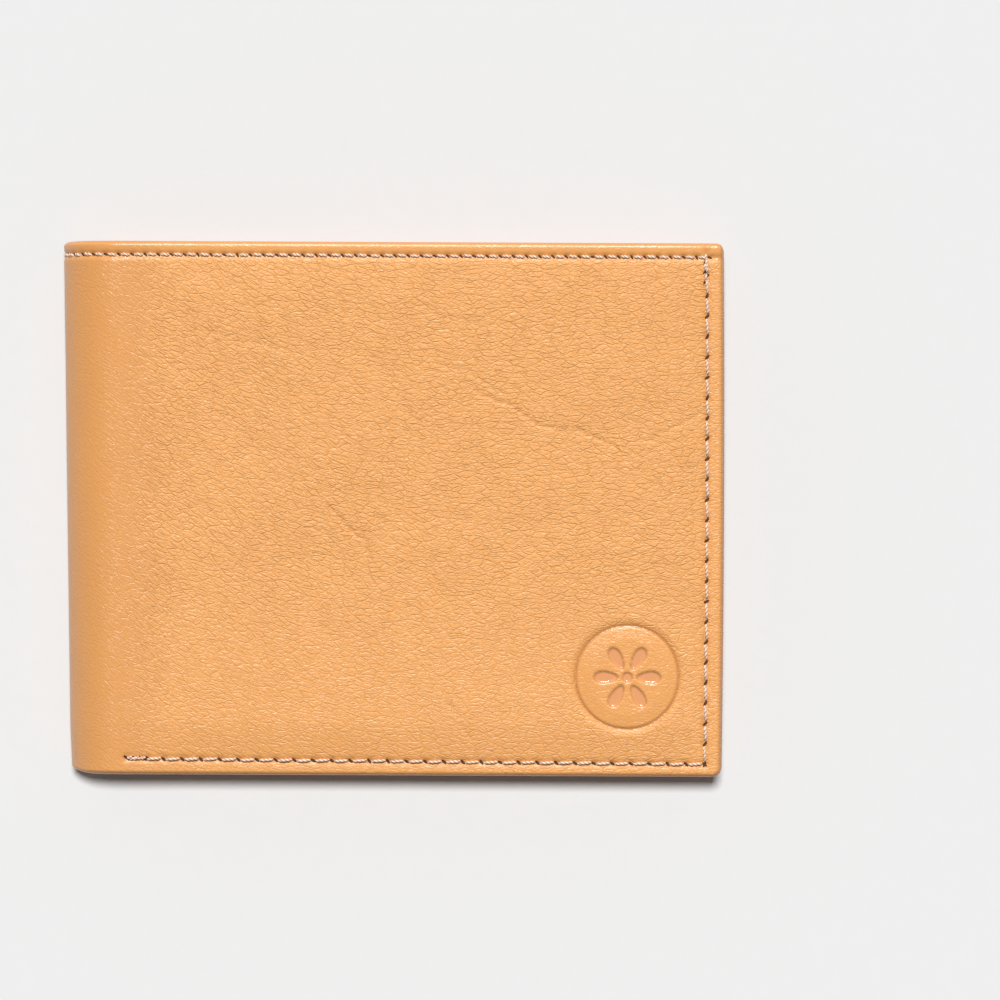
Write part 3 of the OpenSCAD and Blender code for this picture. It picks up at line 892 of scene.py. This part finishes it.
def sew(name, surface, rows, side_out, seed):
    """Stitches on a surface(u, y) -> points, each from one needle hole to the next. A row holds
    its stitches' starts and their ends. side_out is 1 where the thread lies on the surface's
    outer side and -1 on its inner side."""
    starts, ends = [np.concatenate(points) for points in zip(*rows)]
    rng = np.random.default_rng(seed)
    count = len(starts)
    middle, length, along, side, up = stitch_axes(surface, starts, ends, side_out)
    # The top seam's short stitches are a little thicker, lean the other way and show less
    short = bell(length - TOP_PITCH, 0.6)
    radius = (THREAD_R + 0.01 * short)[:, None, None]
    slant = (0.12 - 0.22 * short)[:, None, None]
    length = length * (0.80 - 0.08 * short)

    S, A = np.meshgrid(np.linspace(-0.5, 0.5, STITCH_RINGS),
                       np.linspace(0, 2 * math.pi, STITCH_SIDES, endpoint=False), indexing="ij")
    reach = S[None] * length[:, None, None]
    phase = rng.uniform(0, 2 * math.pi, count)[:, None, None]
    lobe = np.abs(np.cos(A[None] - 2 * math.pi * reach / PLY_TURN - phase))
    taper = (1 - (2 * np.abs(S)) ** 5 * 0.55)[None]
    grow = rng.uniform(0.92, 1.08, count)[:, None, None]
    r = radius * grow * taper * (0.80 + 0.30 * lobe)
    dive = 0.95 * radius - 1.6 * radius * (2 * np.abs(S[None])) ** 4
    lift = rng.uniform(-0.03, 0.03, count)[:, None, None]
    sway = slant * 2 * S[None] + rng.uniform(-0.05, 0.05, count)[:, None, None]
    points = middle[:, None, None]
    for axis, far in ((along, reach), (side, sway + r * np.cos(A)), (up, dive + lift + r * np.sin(A))):
        points = points + axis[:, None, None] * far[..., None]

    per = STITCH_RINGS * STITCH_SIDES
    ring = np.arange(per).reshape(STITCH_RINGS, STITCH_SIDES)
    after = np.roll(ring, -1, 1)
    quads = np.stack([ring[:-1], after[:-1], after[1:], ring[1:]], -1).reshape(-1, 4)
    faces = (quads[None] + np.arange(count)[:, None, None] * per).reshape(-1, 4).tolist()
    for k in range(count):
        faces.append((ring[0][::-1] + k * per).tolist())
        faces.append((ring[-1] + k * per).tolist())
    slots = [0] * len(faces)
    more, hole_faces = needle_holes(surface, starts, ends, up, 1.15 - 0.2 * short, count * per)
    # Ply runs from groove to crest and sets the thread's painted shade.
    ply = np.concatenate([lobe.reshape(-1), np.zeros(len(more))])
    piece = make_mesh(name, np.concatenate([points.reshape(-1, 3), more]), faces + hole_faces,
                      values={"Ply": ply}, slots=slots + [1] * len(hole_faces))
    piece.data.materials.append(THREAD)
    piece.data.materials.append(HOLE_SHADE)
    return piece


HOLE_LONG, HOLE_WIDE = 1.85 * THREAD_R, 0.85 * THREAD_R  # half its length and half its width
HOLE_TILT = -38  # degrees from the row
HOLE_LIFT = 0.035  # above the leather, so that it shows
HOLE_SIDES = 12


def needle_holes(surface, starts, ends, up, size, first):
    """Slanted dark ovals where the thread goes down, laid on the surface: painted shade for the
    needle holes. `first` is the number of their first point in the mesh."""
    places = np.concatenate([starts, ends[-1:]])
    tilt = np.random.default_rng(3).normal(math.radians(HOLE_TILT), 0.16, len(places))[:, None]
    run = np.concatenate([ends - starts, ends[-1:] - starts[-1:]])
    run = run / np.linalg.norm(run, axis=1)[:, None]
    beside = np.stack([run[:, 1], -run[:, 0]], -1)
    size = np.r_[size, size[-1]][:, None]
    turn = np.linspace(0, 2 * math.pi, HOLE_SIDES, endpoint=False)
    p, q = HOLE_LONG * size * np.cos(turn), HOLE_WIDE * size * np.sin(turn)
    p, q = p * np.cos(tilt) - q * np.sin(tilt), p * np.sin(tilt) + q * np.cos(tilt)
    rim = places[:, None] + run[:, None] * p[..., None] + beside[:, None] * q[..., None]
    spots = np.concatenate([rim, places[:, None]], 1)
    lift = np.concatenate([up, up[-1:]])[:, None] * HOLE_LIFT
    points = surface(spots[..., 0], spots[..., 1]) + lift
    faces = []
    for start in range(first, first + len(places) * (HOLE_SIDES + 1), HOLE_SIDES + 1):
        for i in range(HOLE_SIDES):
            faces.append([start + i, start + (i + 1) % HOLE_SIDES, start + HOLE_SIDES])
    return points.reshape(-1, 3), faces


def row(from_uy, to_uy, pitch):
    """Stitch starts and ends in a straight row on the surface."""
    from_uy, to_uy = np.array(from_uy, float), np.array(to_uy, float)
    count = max(1, round(np.linalg.norm(to_uy - from_uy) / pitch))
    t = np.linspace(0, 1, count + 1)[:, None]
    marks = from_uy + (to_uy - from_uy) * t
    return marks[:-1], marks[1:]


def sew_inside(name, body, node, surface, rows, seed):
    """Rows of stitches on one body's inner side, in place of a CAD node."""
    piece = sew(name, surface, rows, -1, seed)
    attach(piece, body)
    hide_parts(node)


def top_stitches(part, marks):
    """The top seam's stitches from these marks that have their middle on this length."""
    low, high = LENGTHS[part]
    u = marks[(marks + TOP_PITCH / 2 >= low) & (marks + TOP_PITCH / 2 < high)]
    starts = np.stack([u, top_seam_y(u)], -1)
    return starts, np.stack([u + TOP_PITCH, top_seam_y(u + TOP_PITCH)], -1)


def side_and_bottom_stitches(part):
    """The seams of one cover besides the top seam, each with a few stitches doubled back."""
    side_u, sign = (SIDE_SEAM_V, 1) if part == "front" else (TOTAL - SIDE_SEAM_V, -1)
    last = SIDE_BOTTOM + int((SIDE_TOP - SIDE_BOTTOM) / SIDE_PITCH) * SIDE_PITCH
    rows = [row((side_u, SIDE_BOTTOM), (side_u, last), SIDE_PITCH),
            row((side_u + sign * 0.35, last - 1.3 * SIDE_PITCH), (side_u + sign * 0.3, last + 0.5), 1.9)]
    count = int((BOTTOM_START_V - SIDE_SEAM_V) / BOTTOM_PITCH)
    v = SIDE_SEAM_V + np.arange(count + 1) * BOTTOM_PITCH
    u = v if part == "front" else TOTAL - v
    doubled = u[-1] - sign * np.arange(4) * 1.2
    for line_u, aside in ((u, 0), (doubled, 0.22)):
        line = np.stack([line_u, bottom_seam_y(line_u) + aside], -1)
        rows.append((line[:-1], line[1:]))
    return rows


def cover_seams():
    """The top seam all the way round, and the side and bottom seams of both covers."""
    marks = np.arange(1, int(TOTAL / TOP_PITCH) - 1) * TOP_PITCH
    for part in HINGES:
        rows = [top_stitches(part, marks)]
        if part != "spine":
            rows += side_and_bottom_stitches(part)
        piece = sew(f"cover_thread_{part}", surface_of(cover_outer), rows, 1, seed=5)
        hang(piece, part, ("seam_thread", "thread"))


# ---- Board, lining, divider and inner panel ----

def fit(piece, body, node, material):
    """Fixes a piece to one body in place of a CAD node."""
    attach(piece, body)
    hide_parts(node)
    piece.data.materials.append(material)


def flat_shell(name, body, v_span, y_span, outer, inner, node, material, step,
               corners=(0.8, 0.8, 0.8, 0.8), nose=0.3):
    """A sheet on one leaf. v_span is measured from the free edge."""
    us = edged(*v_span, 3, 0.5, step)
    ys = edged(*y_span, 3, 0.5, step, 0.25)
    if body == "back_leaf":
        us = TOTAL - us[::-1]
    piece = shell(name, us, ys, outer, inner, corners=corners, nose=nose)
    fit(piece, body, node, material)


def build_boards():
    """The stiff board in each cover."""
    for side in ("front", "back"):
        low, high = box_mm(f"{side}_stiffener")
        flat_shell(f"{side}_board", f"{side}_leaf", (FREE_X - high[0], FREE_X - low[0]),
                   (low[1], high[1]), layer(D_LEATHER + 0.03), layer(D_BOARD - 0.03),
                   f"{side}_stiffener", BOARD, step=3, nose=0.15,
                   corners=(2, 2, 2, 2))


def build_lining():
    """The lining of the bill compartment, over the boards and down onto the leather beside them."""

    def outer(u, y):
        in_bend = smooth((from_free(u) - FLAT) / 1.5)
        on_board, on_leather = level(D_BOARD + 0.02, u, y), level(D_LEATHER + 0.02, u, y)
        return on_board * (1 - in_bend) + on_leather * in_bend

    def inner(u, y):
        return level(D_LINING, u, y) + 0.05 * noise(u, y, 9, 21) + 0.03 * noise(u, y, 4, 22)

    tuck = 0.5  # how far it goes in under the hem
    top = TOP_Y - HEM_W + tuck
    spread("lining", part_lines(HEM_W - tuck, 0.6, 1.0), lines((-top, top, 1.2)), outer, inner,
           D_LINING, ("lining", "lining"), "lining", LINING, nose=0.1, rings=2)


TRIM_T = 0.16  # the trim stands this far over the divider


def divider_wave(u, y):
    """The bill divider hangs free at its top edge, so it is not quite flat."""
    return 0.10 * noise(u, 0 * y, 17, 31) * smooth((y + 10) / 50)


def build_divider():
    """A cloth divider with a folded leather trim along its top edge."""
    nodes = ("bill_divider", "divider")
    us = part_lines(INNER_V, 0.6, 1.0)

    def outer(u, y):
        return level(D_HEM + 0.05, u, y) + divider_wave(u, y)

    def inner(u, y):
        return level(D_DIVIDER, u, y) + divider_wave(u, y)

    spread("divider", us, lines((INNER_BOTTOM, DIVIDER_TOP - 0.4, 1.2)), outer, inner,
           D_DIVIDER, nodes, "divider", DIVIDER, nose=0.12, rings=3)

    def trim_outer(u, y):
        return outer(u, y) - 0.04

    def trim_inner(u, y):
        return inner(u, y) + TRIM_T - 0.07 * bell(y - DIVIDER_TOP + 1.3, 0.3)

    ys = lines((DIVIDER_TOP - 6, DIVIDER_TOP - 2.4, 0.6), (DIVIDER_TOP - 2.4, DIVIDER_TOP, 0.15))
    spread("divider_trim", us, ys, trim_outer, trim_inner, D_DIVIDER, nodes, "inner_leather", INNER,
           nose=0.22, rings=4)


def edge_crease(y, edge):
    """A pressed line and a slightly thinner lip along a panel's top edge."""
    return 0.10 * bell(y - edge + 1.6, 0.28) + 0.12 * smooth((y - edge + 1.2) / 1.2)


def panel_face(u, y):
    """Depth of the inner panel's visible face."""
    soft = 0.05 * noise(u, y, 13, 41) + 0.02 * noise(u, 1.5 * y, 4, 42)
    return level(D_PANEL, u, y) + soft - edge_crease(y, PANEL_TOP)


def build_panel():
    """The inner panel, which the card slots lie on."""
    ys = edged(INNER_BOTTOM, PANEL_TOP, 3, 0.5, 1.0, 0.15)
    spread("inner_panel", part_lines(INNER_V, 0.5, 0.8), ys, layer(D_PANEL - PANEL_T), panel_face,
           D_PANEL, ("inner_panel", "panel"), "inner_leather", INNER, corners=CORNER_R, nose=0.28)


# ---- Card slots ----

SHUT_GAP = 0.1  # gap left between the slots at their sewn ends
CLOSED_FROM, CLOSED_TO = [0.0, D_PANEL], [0.0, D_PANEL]
for slot_depth in D_SLOTS:
    CLOSED_FROM += [slot_depth - SLOT_T, slot_depth]
    CLOSED_TO += [CLOSED_TO[-1] + SHUT_GAP, CLOSED_TO[-1] + SHUT_GAP + SLOT_T]


def slot_level(depth, u, y):
    """Like level(), and the pockets also close at their sewn ends next to the spine."""
    v = from_free(u)
    end = smooth((v - SLOT_END_V + 7.5) / 6.5) * (1 - pinch(u, y))
    return level(depth, u, y) + (np.interp(depth, CLOSED_FROM, CLOSED_TO) - depth) * end


def slot_bow(i, u, y):
    """The mouth of a pocket stands open a little in its middle."""
    v = from_free(u)
    share = np.clip((v - 8) / (SLOT_END_V - 16), 0, 1)
    return 0.2 * np.sin(math.pi * share) * bell(y - SLOT_TOPS[i], 5)


def slot_face(i, u, y):
    """Depth of a slot's visible face."""
    soft = 0.05 * noise(u, y, 12, 51 + i) + 0.02 * noise(u, 1.5 * y, 4, 61 + i)
    pressed = edge_crease(y, SLOT_TOPS[i]) + 0.16 * bell(from_free(u) - SLOT_SEAM_V, 0.5)
    return slot_level(D_SLOTS[i], u, y) + slot_bow(i, u, y) + soft - pressed


def build_slots():
    """Three card slots on each leaf."""
    for side in ("front", "back"):
        for i in range(3):
            def outer(u, y, i=i):
                return slot_level(D_SLOTS[i] - SLOT_T, u, y) + slot_bow(i, u, y)

            def inner(u, y, i=i):
                return slot_face(i, u, y)

            flat_shell(f"{side}_slot_{i + 1}", f"{side}_leaf", (INNER_V, SLOT_END_V),
                       (INNER_BOTTOM, SLOT_TOPS[i]), outer, inner, f"{side}_card_slot_{i + 1}",
                       INNER, step=0.8, nose=0.25)


# ---- Inner stitches ----

def innermost(u, y):
    """Depth of the leaf's inner face."""
    face = level(D_HEM, u, y)
    face = np.where(y < DIVIDER_TOP, level(D_DIVIDER, u, y) + TRIM_T, face)
    face = np.where(y < PANEL_TOP, panel_face(u, y), face)
    v = from_free(u)
    for i in range(3):
        face = np.where((y < SLOT_TOPS[i]) & (v < SLOT_END_V), slot_face(i, u, y), face)
    return face


def slot_end_rows(u_of):
    """The stitches that close the slots next to the spine, a row for each slot's own step."""
    u = u_of(SLOT_SEAM_V)
    tops = [INNER_BOTTOM + 3] + SLOT_TOPS[::-1]
    return [row((u, low + 0.6), (u, high - 0.6), SIDE_PITCH) for low, high in zip(tops, tops[1:])]


def inner_seams():
    """The bottom, slot and side stitches as they show on each leaf's inner face."""
    for side in ("front", "back"):
        def u_of(v, side=side):
            return v if side == "front" else TOTAL - v

        v = np.arange(SIDE_SEAM_V + BOTTOM_PITCH, SLOT_END_V - 1, BOTTOM_PITCH)
        line = np.stack([u_of(v), bottom_seam_y(v)], -1)
        rows = [(line[:-1], line[1:])] + slot_end_rows(u_of)
        if side == "front":
            tops = [SIDE_BOTTOM] + SLOT_TOPS[::-1] + [PANEL_TOP, TOP_Y - 3]
            for low, high in zip(tops, tops[1:]):
                rows.append(row((SIDE_SEAM_V, low + 0.5), (SIDE_SEAM_V, high - 0.5), SIDE_PITCH))
        sew_inside(f"inner_thread_{side}", f"{side}_leaf", f"{side}_seam_thread", surface_of(innermost),
               rows, seed=8)


def hem_seams():
    """The top seam seen inside the bill compartment."""
    marks = np.arange(3, int(TOTAL / TOP_PITCH) - 2) * TOP_PITCH
    for part in HINGES:
        piece = sew(f"hem_thread_{part}", surface_of(layer(D_HEM)), [top_stitches(part, marks)], -1, seed=9)
        hang(piece, part, ("seam_thread", "thread"))


# ---- Window flap ----

HINGE_X = (STRIP_LOW[0] + FLAP_HIGH[0]) / 2
HINGE_V = FREE_X - HINGE_X


def build_strip_packing():
    """Leather layers on the back leaf that carry the strip level over the steps of the slots."""
    for i in range(3):
        below = layer(D_PANEL if i == 0 else D_SLOTS[i - 1])
        flat_shell(f"strip_packing_{i + 1}", "back_leaf", (INNER_V, FREE_X - STRIP_LOW[0]),
                   (SLOT_TOPS[i] + 0.2, STRIP_HIGH[1]), below, layer(D_SLOTS[i] - 0.02),
                   "flap_hinge_strip", INNER, step=0.6, nose=0.3)


def build_flap_leather():
    """One leather sheet: sewn on the free edge, thinned along the hinge, and the flap's back."""
    sewn = 5.0  # it lies flat as far as this from the free edge

    def share(u):
        return smooth((TOTAL - u - sewn) / (HINGE_V - sewn))

    def outer(u, y):
        return level(D_SLOTS[2], u, y) * (1 - share(u)) + FLAP_LOW[2] * share(u)

    def inner(u, y):
        fold = 0.10 * bell(TOTAL - u - HINGE_V, 0.5)
        return level(D_STRIP, u, y) * (1 - share(u)) + FLAP_HIGH[2] * share(u) - fold

    def shape(u, y):
        past = smooth((TOTAL - u - HINGE_V - 0.2) / 3.5)
        top = STRIP_HIGH[1] + (FLAP_HIGH[1] - STRIP_HIGH[1]) * past
        low = FLAP_LOW[1]
        return u, low + (y - low) * (top - low) / (FLAP_HIGH[1] - low)

    end = FREE_X - FLAP_LOW[0]
    us = TOTAL - lines((INNER_V, 6.5, 0.4), (6.5, 9.2, 0.1), (9.2, 14, 0.4), (14, end - 2, 1.0),
                       (end - 2, end, 0.4))[::-1]
    ys = edged(FLAP_LOW[1], FLAP_HIGH[1], 2, 0.4, 1.0)
    piece = shell("flap_leather", us, ys, outer, inner, corners=(2.0, 2.0, 0.8, 0.8), nose=0.3,
                  shape=shape)
    piece.data.materials.append(INNER)
    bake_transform(piece)
    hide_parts("flap_hinge_strip", "flap_base_leather")


def straight(start, end, count):
    """Points between two points, without the two."""
    t = np.linspace(0, 1, count + 2)[1:-1, None]
    return np.array(start) + (np.array(end) - np.array(start)) * t


def arc(centre, radius, angles):
    """Points on a circle at these angles in degrees."""
    turn = np.radians(angles)
    return np.stack([centre[0] + radius * np.cos(turn), centre[1] + radius * np.sin(turn)], -1)


def rounded_rectangle(low, high, radius):
    """Points round a rectangle with round corners, the same number for any size."""
    centres = [(high[0] - radius, high[1] - radius), (low[0] + radius, high[1] - radius),
               (low[0] + radius, low[1] + radius), (high[0] - radius, low[1] + radius)]
    corners = [arc(c, radius, np.linspace(0, 90, 9) + 90 * k) for k, c in enumerate(centres)]
    points = []
    for corner, after in zip(corners, corners[1:] + corners[:1]):
        points += [corner, straight(corner[-1], after[0], 64)]
    return np.concatenate(points)


def band(name, inner_line, outer_line, low, high, closed, relief, across, nose=0.25):
    """A flat strip between two lines of matching points, with round edges. relief is how far
    its top lies below `high`, and `across` the number of points over its top."""
    t = np.linspace(0, 1, across)
    turns = np.linspace(0, math.pi, 7)[1:-1]
    wide = np.linalg.norm(outer_line - inner_line, axis=1)[:, None]
    edge = np.minimum(nose / wide, 0.3)
    share_top = edge + (1 - 2 * edge) * t[None]
    top = high - relief(share_top * wide, wide)
    bottom = np.full_like(top[:, :5], low)
    share_bottom = edge + (1 - 2 * edge) * np.linspace(1, 0, 5)[None]
    middle, half = (low + high) / 2, (high - low) / 2
    out_share = 1 - edge + edge * np.sin(turns)[None]
    out_z = np.broadcast_to(middle + half * np.cos(turns)[None], out_share.shape)
    in_share = edge - edge * np.sin(turns)[None]
    in_z = np.broadcast_to(middle - half * np.cos(turns)[None], in_share.shape)
    share = np.concatenate([share_top, out_share, share_bottom, in_share], 1)
    z = np.concatenate([top, out_z, bottom, in_z], 1)
    xy = inner_line[:, None] + (outer_line - inner_line)[:, None] * share[..., None]
    points = np.concatenate([xy, z[..., None]], -1)
    n, m = share.shape
    at = np.arange(n * m).reshape(n, m)
    nxt = np.roll(at, -1, 0)
    round_about = np.roll(at, -1, 1)
    quads = np.stack([at, round_about, np.roll(nxt, -1, 1), nxt], -1)
    if not closed:
        quads = quads[:-1]
    faces = quads.reshape(-1, 4).tolist()
    if not closed:
        faces += [at[0][::-1].tolist(), at[-1].tolist()]
    on_edge = np.zeros((n, m))
    on_edge[:, across:across + 5] = 1
    on_edge[:, -5:] = 1
    points = points.reshape(-1, 3)
    return make_mesh(name, points, faces, points[:, :2], {"Edge": on_edge.reshape(-1)})


FRAME_SEAM = 1.4  # distance of the stitches from the frame's edge
FRAME_GROOVE = 0.28
WINDOW = (46.0, 74.0)
BINDING_SIDE, BINDING_FOOT = 2.5, 2.0  # widths of the spacer


def frame_relief(across, wide):
    """Pressed line round the window and the groove the stitches lie in."""
    from_outside = wide - across
    return (FRAME_GROOVE * bell(from_outside - FRAME_SEAM, 0.45) + 0.10 * bell(across - 1.3, 0.25)
            + 0.15 * smooth((0.8 - across) / 0.8))


def build_window_frame():
    """The leather frame round the window."""
    middle, half = (FRAME_LOW[:2] + FRAME_HIGH[:2]) / 2, np.array(WINDOW) / 2
    hole = rounded_rectangle(middle - half, middle + half, 2.0)
    outline = rounded_rectangle(FRAME_LOW[:2], FRAME_HIGH[:2], 2.0)
    piece = band("window_frame", hole, outline, FRAME_LOW[2], FRAME_HIGH[2], True, frame_relief, 60)
    fit(piece, "flap", "flap_window_frame", INNER)


def build_edge_binding():
    """The spacer runs down one side of the flap, along the bottom and up the other side."""
    low, high, r = BINDING_LOW, BINDING_HIGH, 1.5
    down = np.linspace(high[1], low[1] + r, 60)
    along = np.linspace(low[0] + r, high[0] - r, 60)
    left = np.concatenate([np.stack([np.full(60, low[0]), down], -1),
                           arc(low[:2] + r, r, np.linspace(180, 270, 9)[1:-1])])
    right = np.stack([high[0] + low[0] - left[::-1, 0], left[::-1, 1]], -1)
    outer_line = np.concatenate([left, np.stack([along, np.full(60, low[1])], -1), right])
    inner_x = np.clip(outer_line[:, 0], low[0] + BINDING_SIDE, high[0] - BINDING_SIDE)
    inner_line = np.stack([inner_x, np.maximum(outer_line[:, 1], low[1] + BINDING_FOOT)], -1)
    piece = band("edge_binding", inner_line, outer_line, low[2], high[2], False,
                 lambda across, wide: 0 * across, 6, nose=0.35)
    fit(piece, "flap", "flap_edge_binding", INNER)


def build_film():
    """Clear film that bulges a little in the middle of the window."""

    def film_wave(u, y):
        x = FREE_X - (TOTAL - u)
        rim = smooth((FRAME_HIGH[0] - 5 - x) / 6) * smooth((x - FRAME_LOW[0] - 5) / 6)
        rim = rim * smooth((FRAME_HIGH[1] - 7 - y) / 6) * smooth((y - FRAME_LOW[1] - 7) / 6)
        return -rim * (0.18 + 0.14 * noise(u, y, 16, 71))

    def outer(u, y):
        return FILM_LOW[2] + 0.03 + film_wave(u, y)

    def inner(u, y):
        return FILM_HIGH[2] - 0.03 + film_wave(u, y)

    us = TOTAL - (FREE_X - lines((FILM_LOW[0] + 0.4, FILM_HIGH[0] - 0.4, 0.9)))
    ys = lines((FILM_LOW[1] + 0.4, FILM_HIGH[1] - 0.4, 0.9))
    film = shell("window_film", us, ys, outer, inner, corners=(2, 2, 2, 2), nose=0.1, rings=3)
    fit(film, "flap", "flap_window_film", FILM)


def flap_surface(x, y):
    """The bottom of the frame's groove. Here the surface's own axes are x and y."""
    return np.stack([x, y, np.full(np.shape(x), FRAME_HIGH[2] - FRAME_GROOVE)], -1)


def flap_seams():
    """The stitches round the window frame, and those that hold the strip to the back leaf."""
    low = FRAME_LOW[:2] + FRAME_SEAM
    high = FRAME_HIGH[:2] - FRAME_SEAM
    corners = [(low[0], high[1]), low, (high[0], low[1]), high, (low[0], high[1])]
    rows = [row(a, b, SIDE_PITCH) for a, b in zip(corners, corners[1:])]
    sew_inside("flap_thread", "flap", "flap_seam_thread", flap_surface, rows, seed=10)
    u = TOTAL - SIDE_SEAM_V
    rows = [row((u, STRIP_LOW[1] + 1), (u, STRIP_HIGH[1] - 1), SIDE_PITCH)]
    sew_inside("strip_thread", "back_leaf", "back_seam_thread", surface_of(layer(D_STRIP)), rows, seed=11)


# ---- Camera, floor and light ----

VIEW_WIDTH = 174.8  # what the camera sees at the wallet's top face
VIEW_CENTRE = (FREE_X - 39.0, 1.7)
CAMERA_ROLL = 0.26  # degrees
FLOOR_HALF = 12.0  # metres, so that its edge never shows
FILL, BACKDROP = 0.21, 0.86  # strength of the studio, and as the camera sees it


def sun(name, energy, lean, softness):
    """A sun that leans this many degrees from straight above, towards the bill mouth."""
    light = bpy.data.lights.new(name, "SUN")
    light.energy, light.angle = energy, math.radians(softness)
    lamp = add_object(name, light)
    lamp.rotation_euler = (math.radians(-lean), 0, 0)
    return lamp


def camera_and_light():
    """The photograph's view from straight above, its pale floor and its soft light."""
    data = bpy.data.cameras.new("camera")
    data.sensor_width, data.lens = 36.0, 450.0
    camera = add_object("camera", data)
    distance = THICK + VIEW_WIDTH * data.lens / data.sensor_width
    camera.location = (VIEW_CENTRE[0] * MM, VIEW_CENTRE[1] * MM, distance * MM)
    camera.rotation_euler = (0, 0, math.radians(CAMERA_ROLL))
    bpy.context.scene.camera = camera

    mesh = bpy.data.meshes.new("floor")
    corners = [(x * FLOOR_HALF, y * FLOOR_HALF, 0) for x, y in ((-1, -1), (1, -1), (1, 1), (-1, 1))]
    mesh.from_pydata(corners, [], [(0, 1, 2, 3)])
    floor = add_object("floor", mesh)
    mesh.materials.append(FLOOR)

    # The floor has its own light, almost from above, so that it stays even and the wallet's
    # shadow stays close. The key rakes the leather from the top and leaves the floor out.
    above = sun("floor_light", 5.3, 7.2, 7)
    key = sun("key", 3.85, 38, 10)
    only_floor = bpy.data.collections.new("floor_only")
    only_floor.objects.link(floor)
    above.light_linking.receiver_collection = only_floor
    not_floor = bpy.data.collections.new("all_but_floor")
    not_floor.objects.link(floor)
    key.light_linking.receiver_collection = not_floor
    not_floor.collection_objects[0].light_linking.link_state = "EXCLUDE"

    world = bpy.data.worlds.new("studio")
    world.use_nodes = True
    # Behind the floor's far edge the studio looks as pale as the floor
    nodes = world.node_tree.nodes
    seen = nodes.new("ShaderNodeLightPath").outputs["Is Camera Ray"]
    strength = nodes.new("ShaderNodeMapRange")
    strength.inputs["To Min"].default_value = FILL
    strength.inputs["To Max"].default_value = BACKDROP
    world.node_tree.links.new(seen, strength.inputs["Value"])
    world.node_tree.links.new(strength.outputs[0], nodes["Background"].inputs["Strength"])
    nodes["Background"].inputs["Color"].default_value = (1, 1, 1, 1)
    bpy.context.scene.world = world
    bpy.context.scene.view_settings.view_transform = "Standard"


camera_and_light()
build_cover()
cover_seams()
build_boards()
build_lining()
build_divider()
build_panel()
build_slots()
inner_seams()
hem_seams()
build_strip_packing()
build_flap_leather()
build_window_frame()
build_edge_binding()
build_film()
flap_seams()
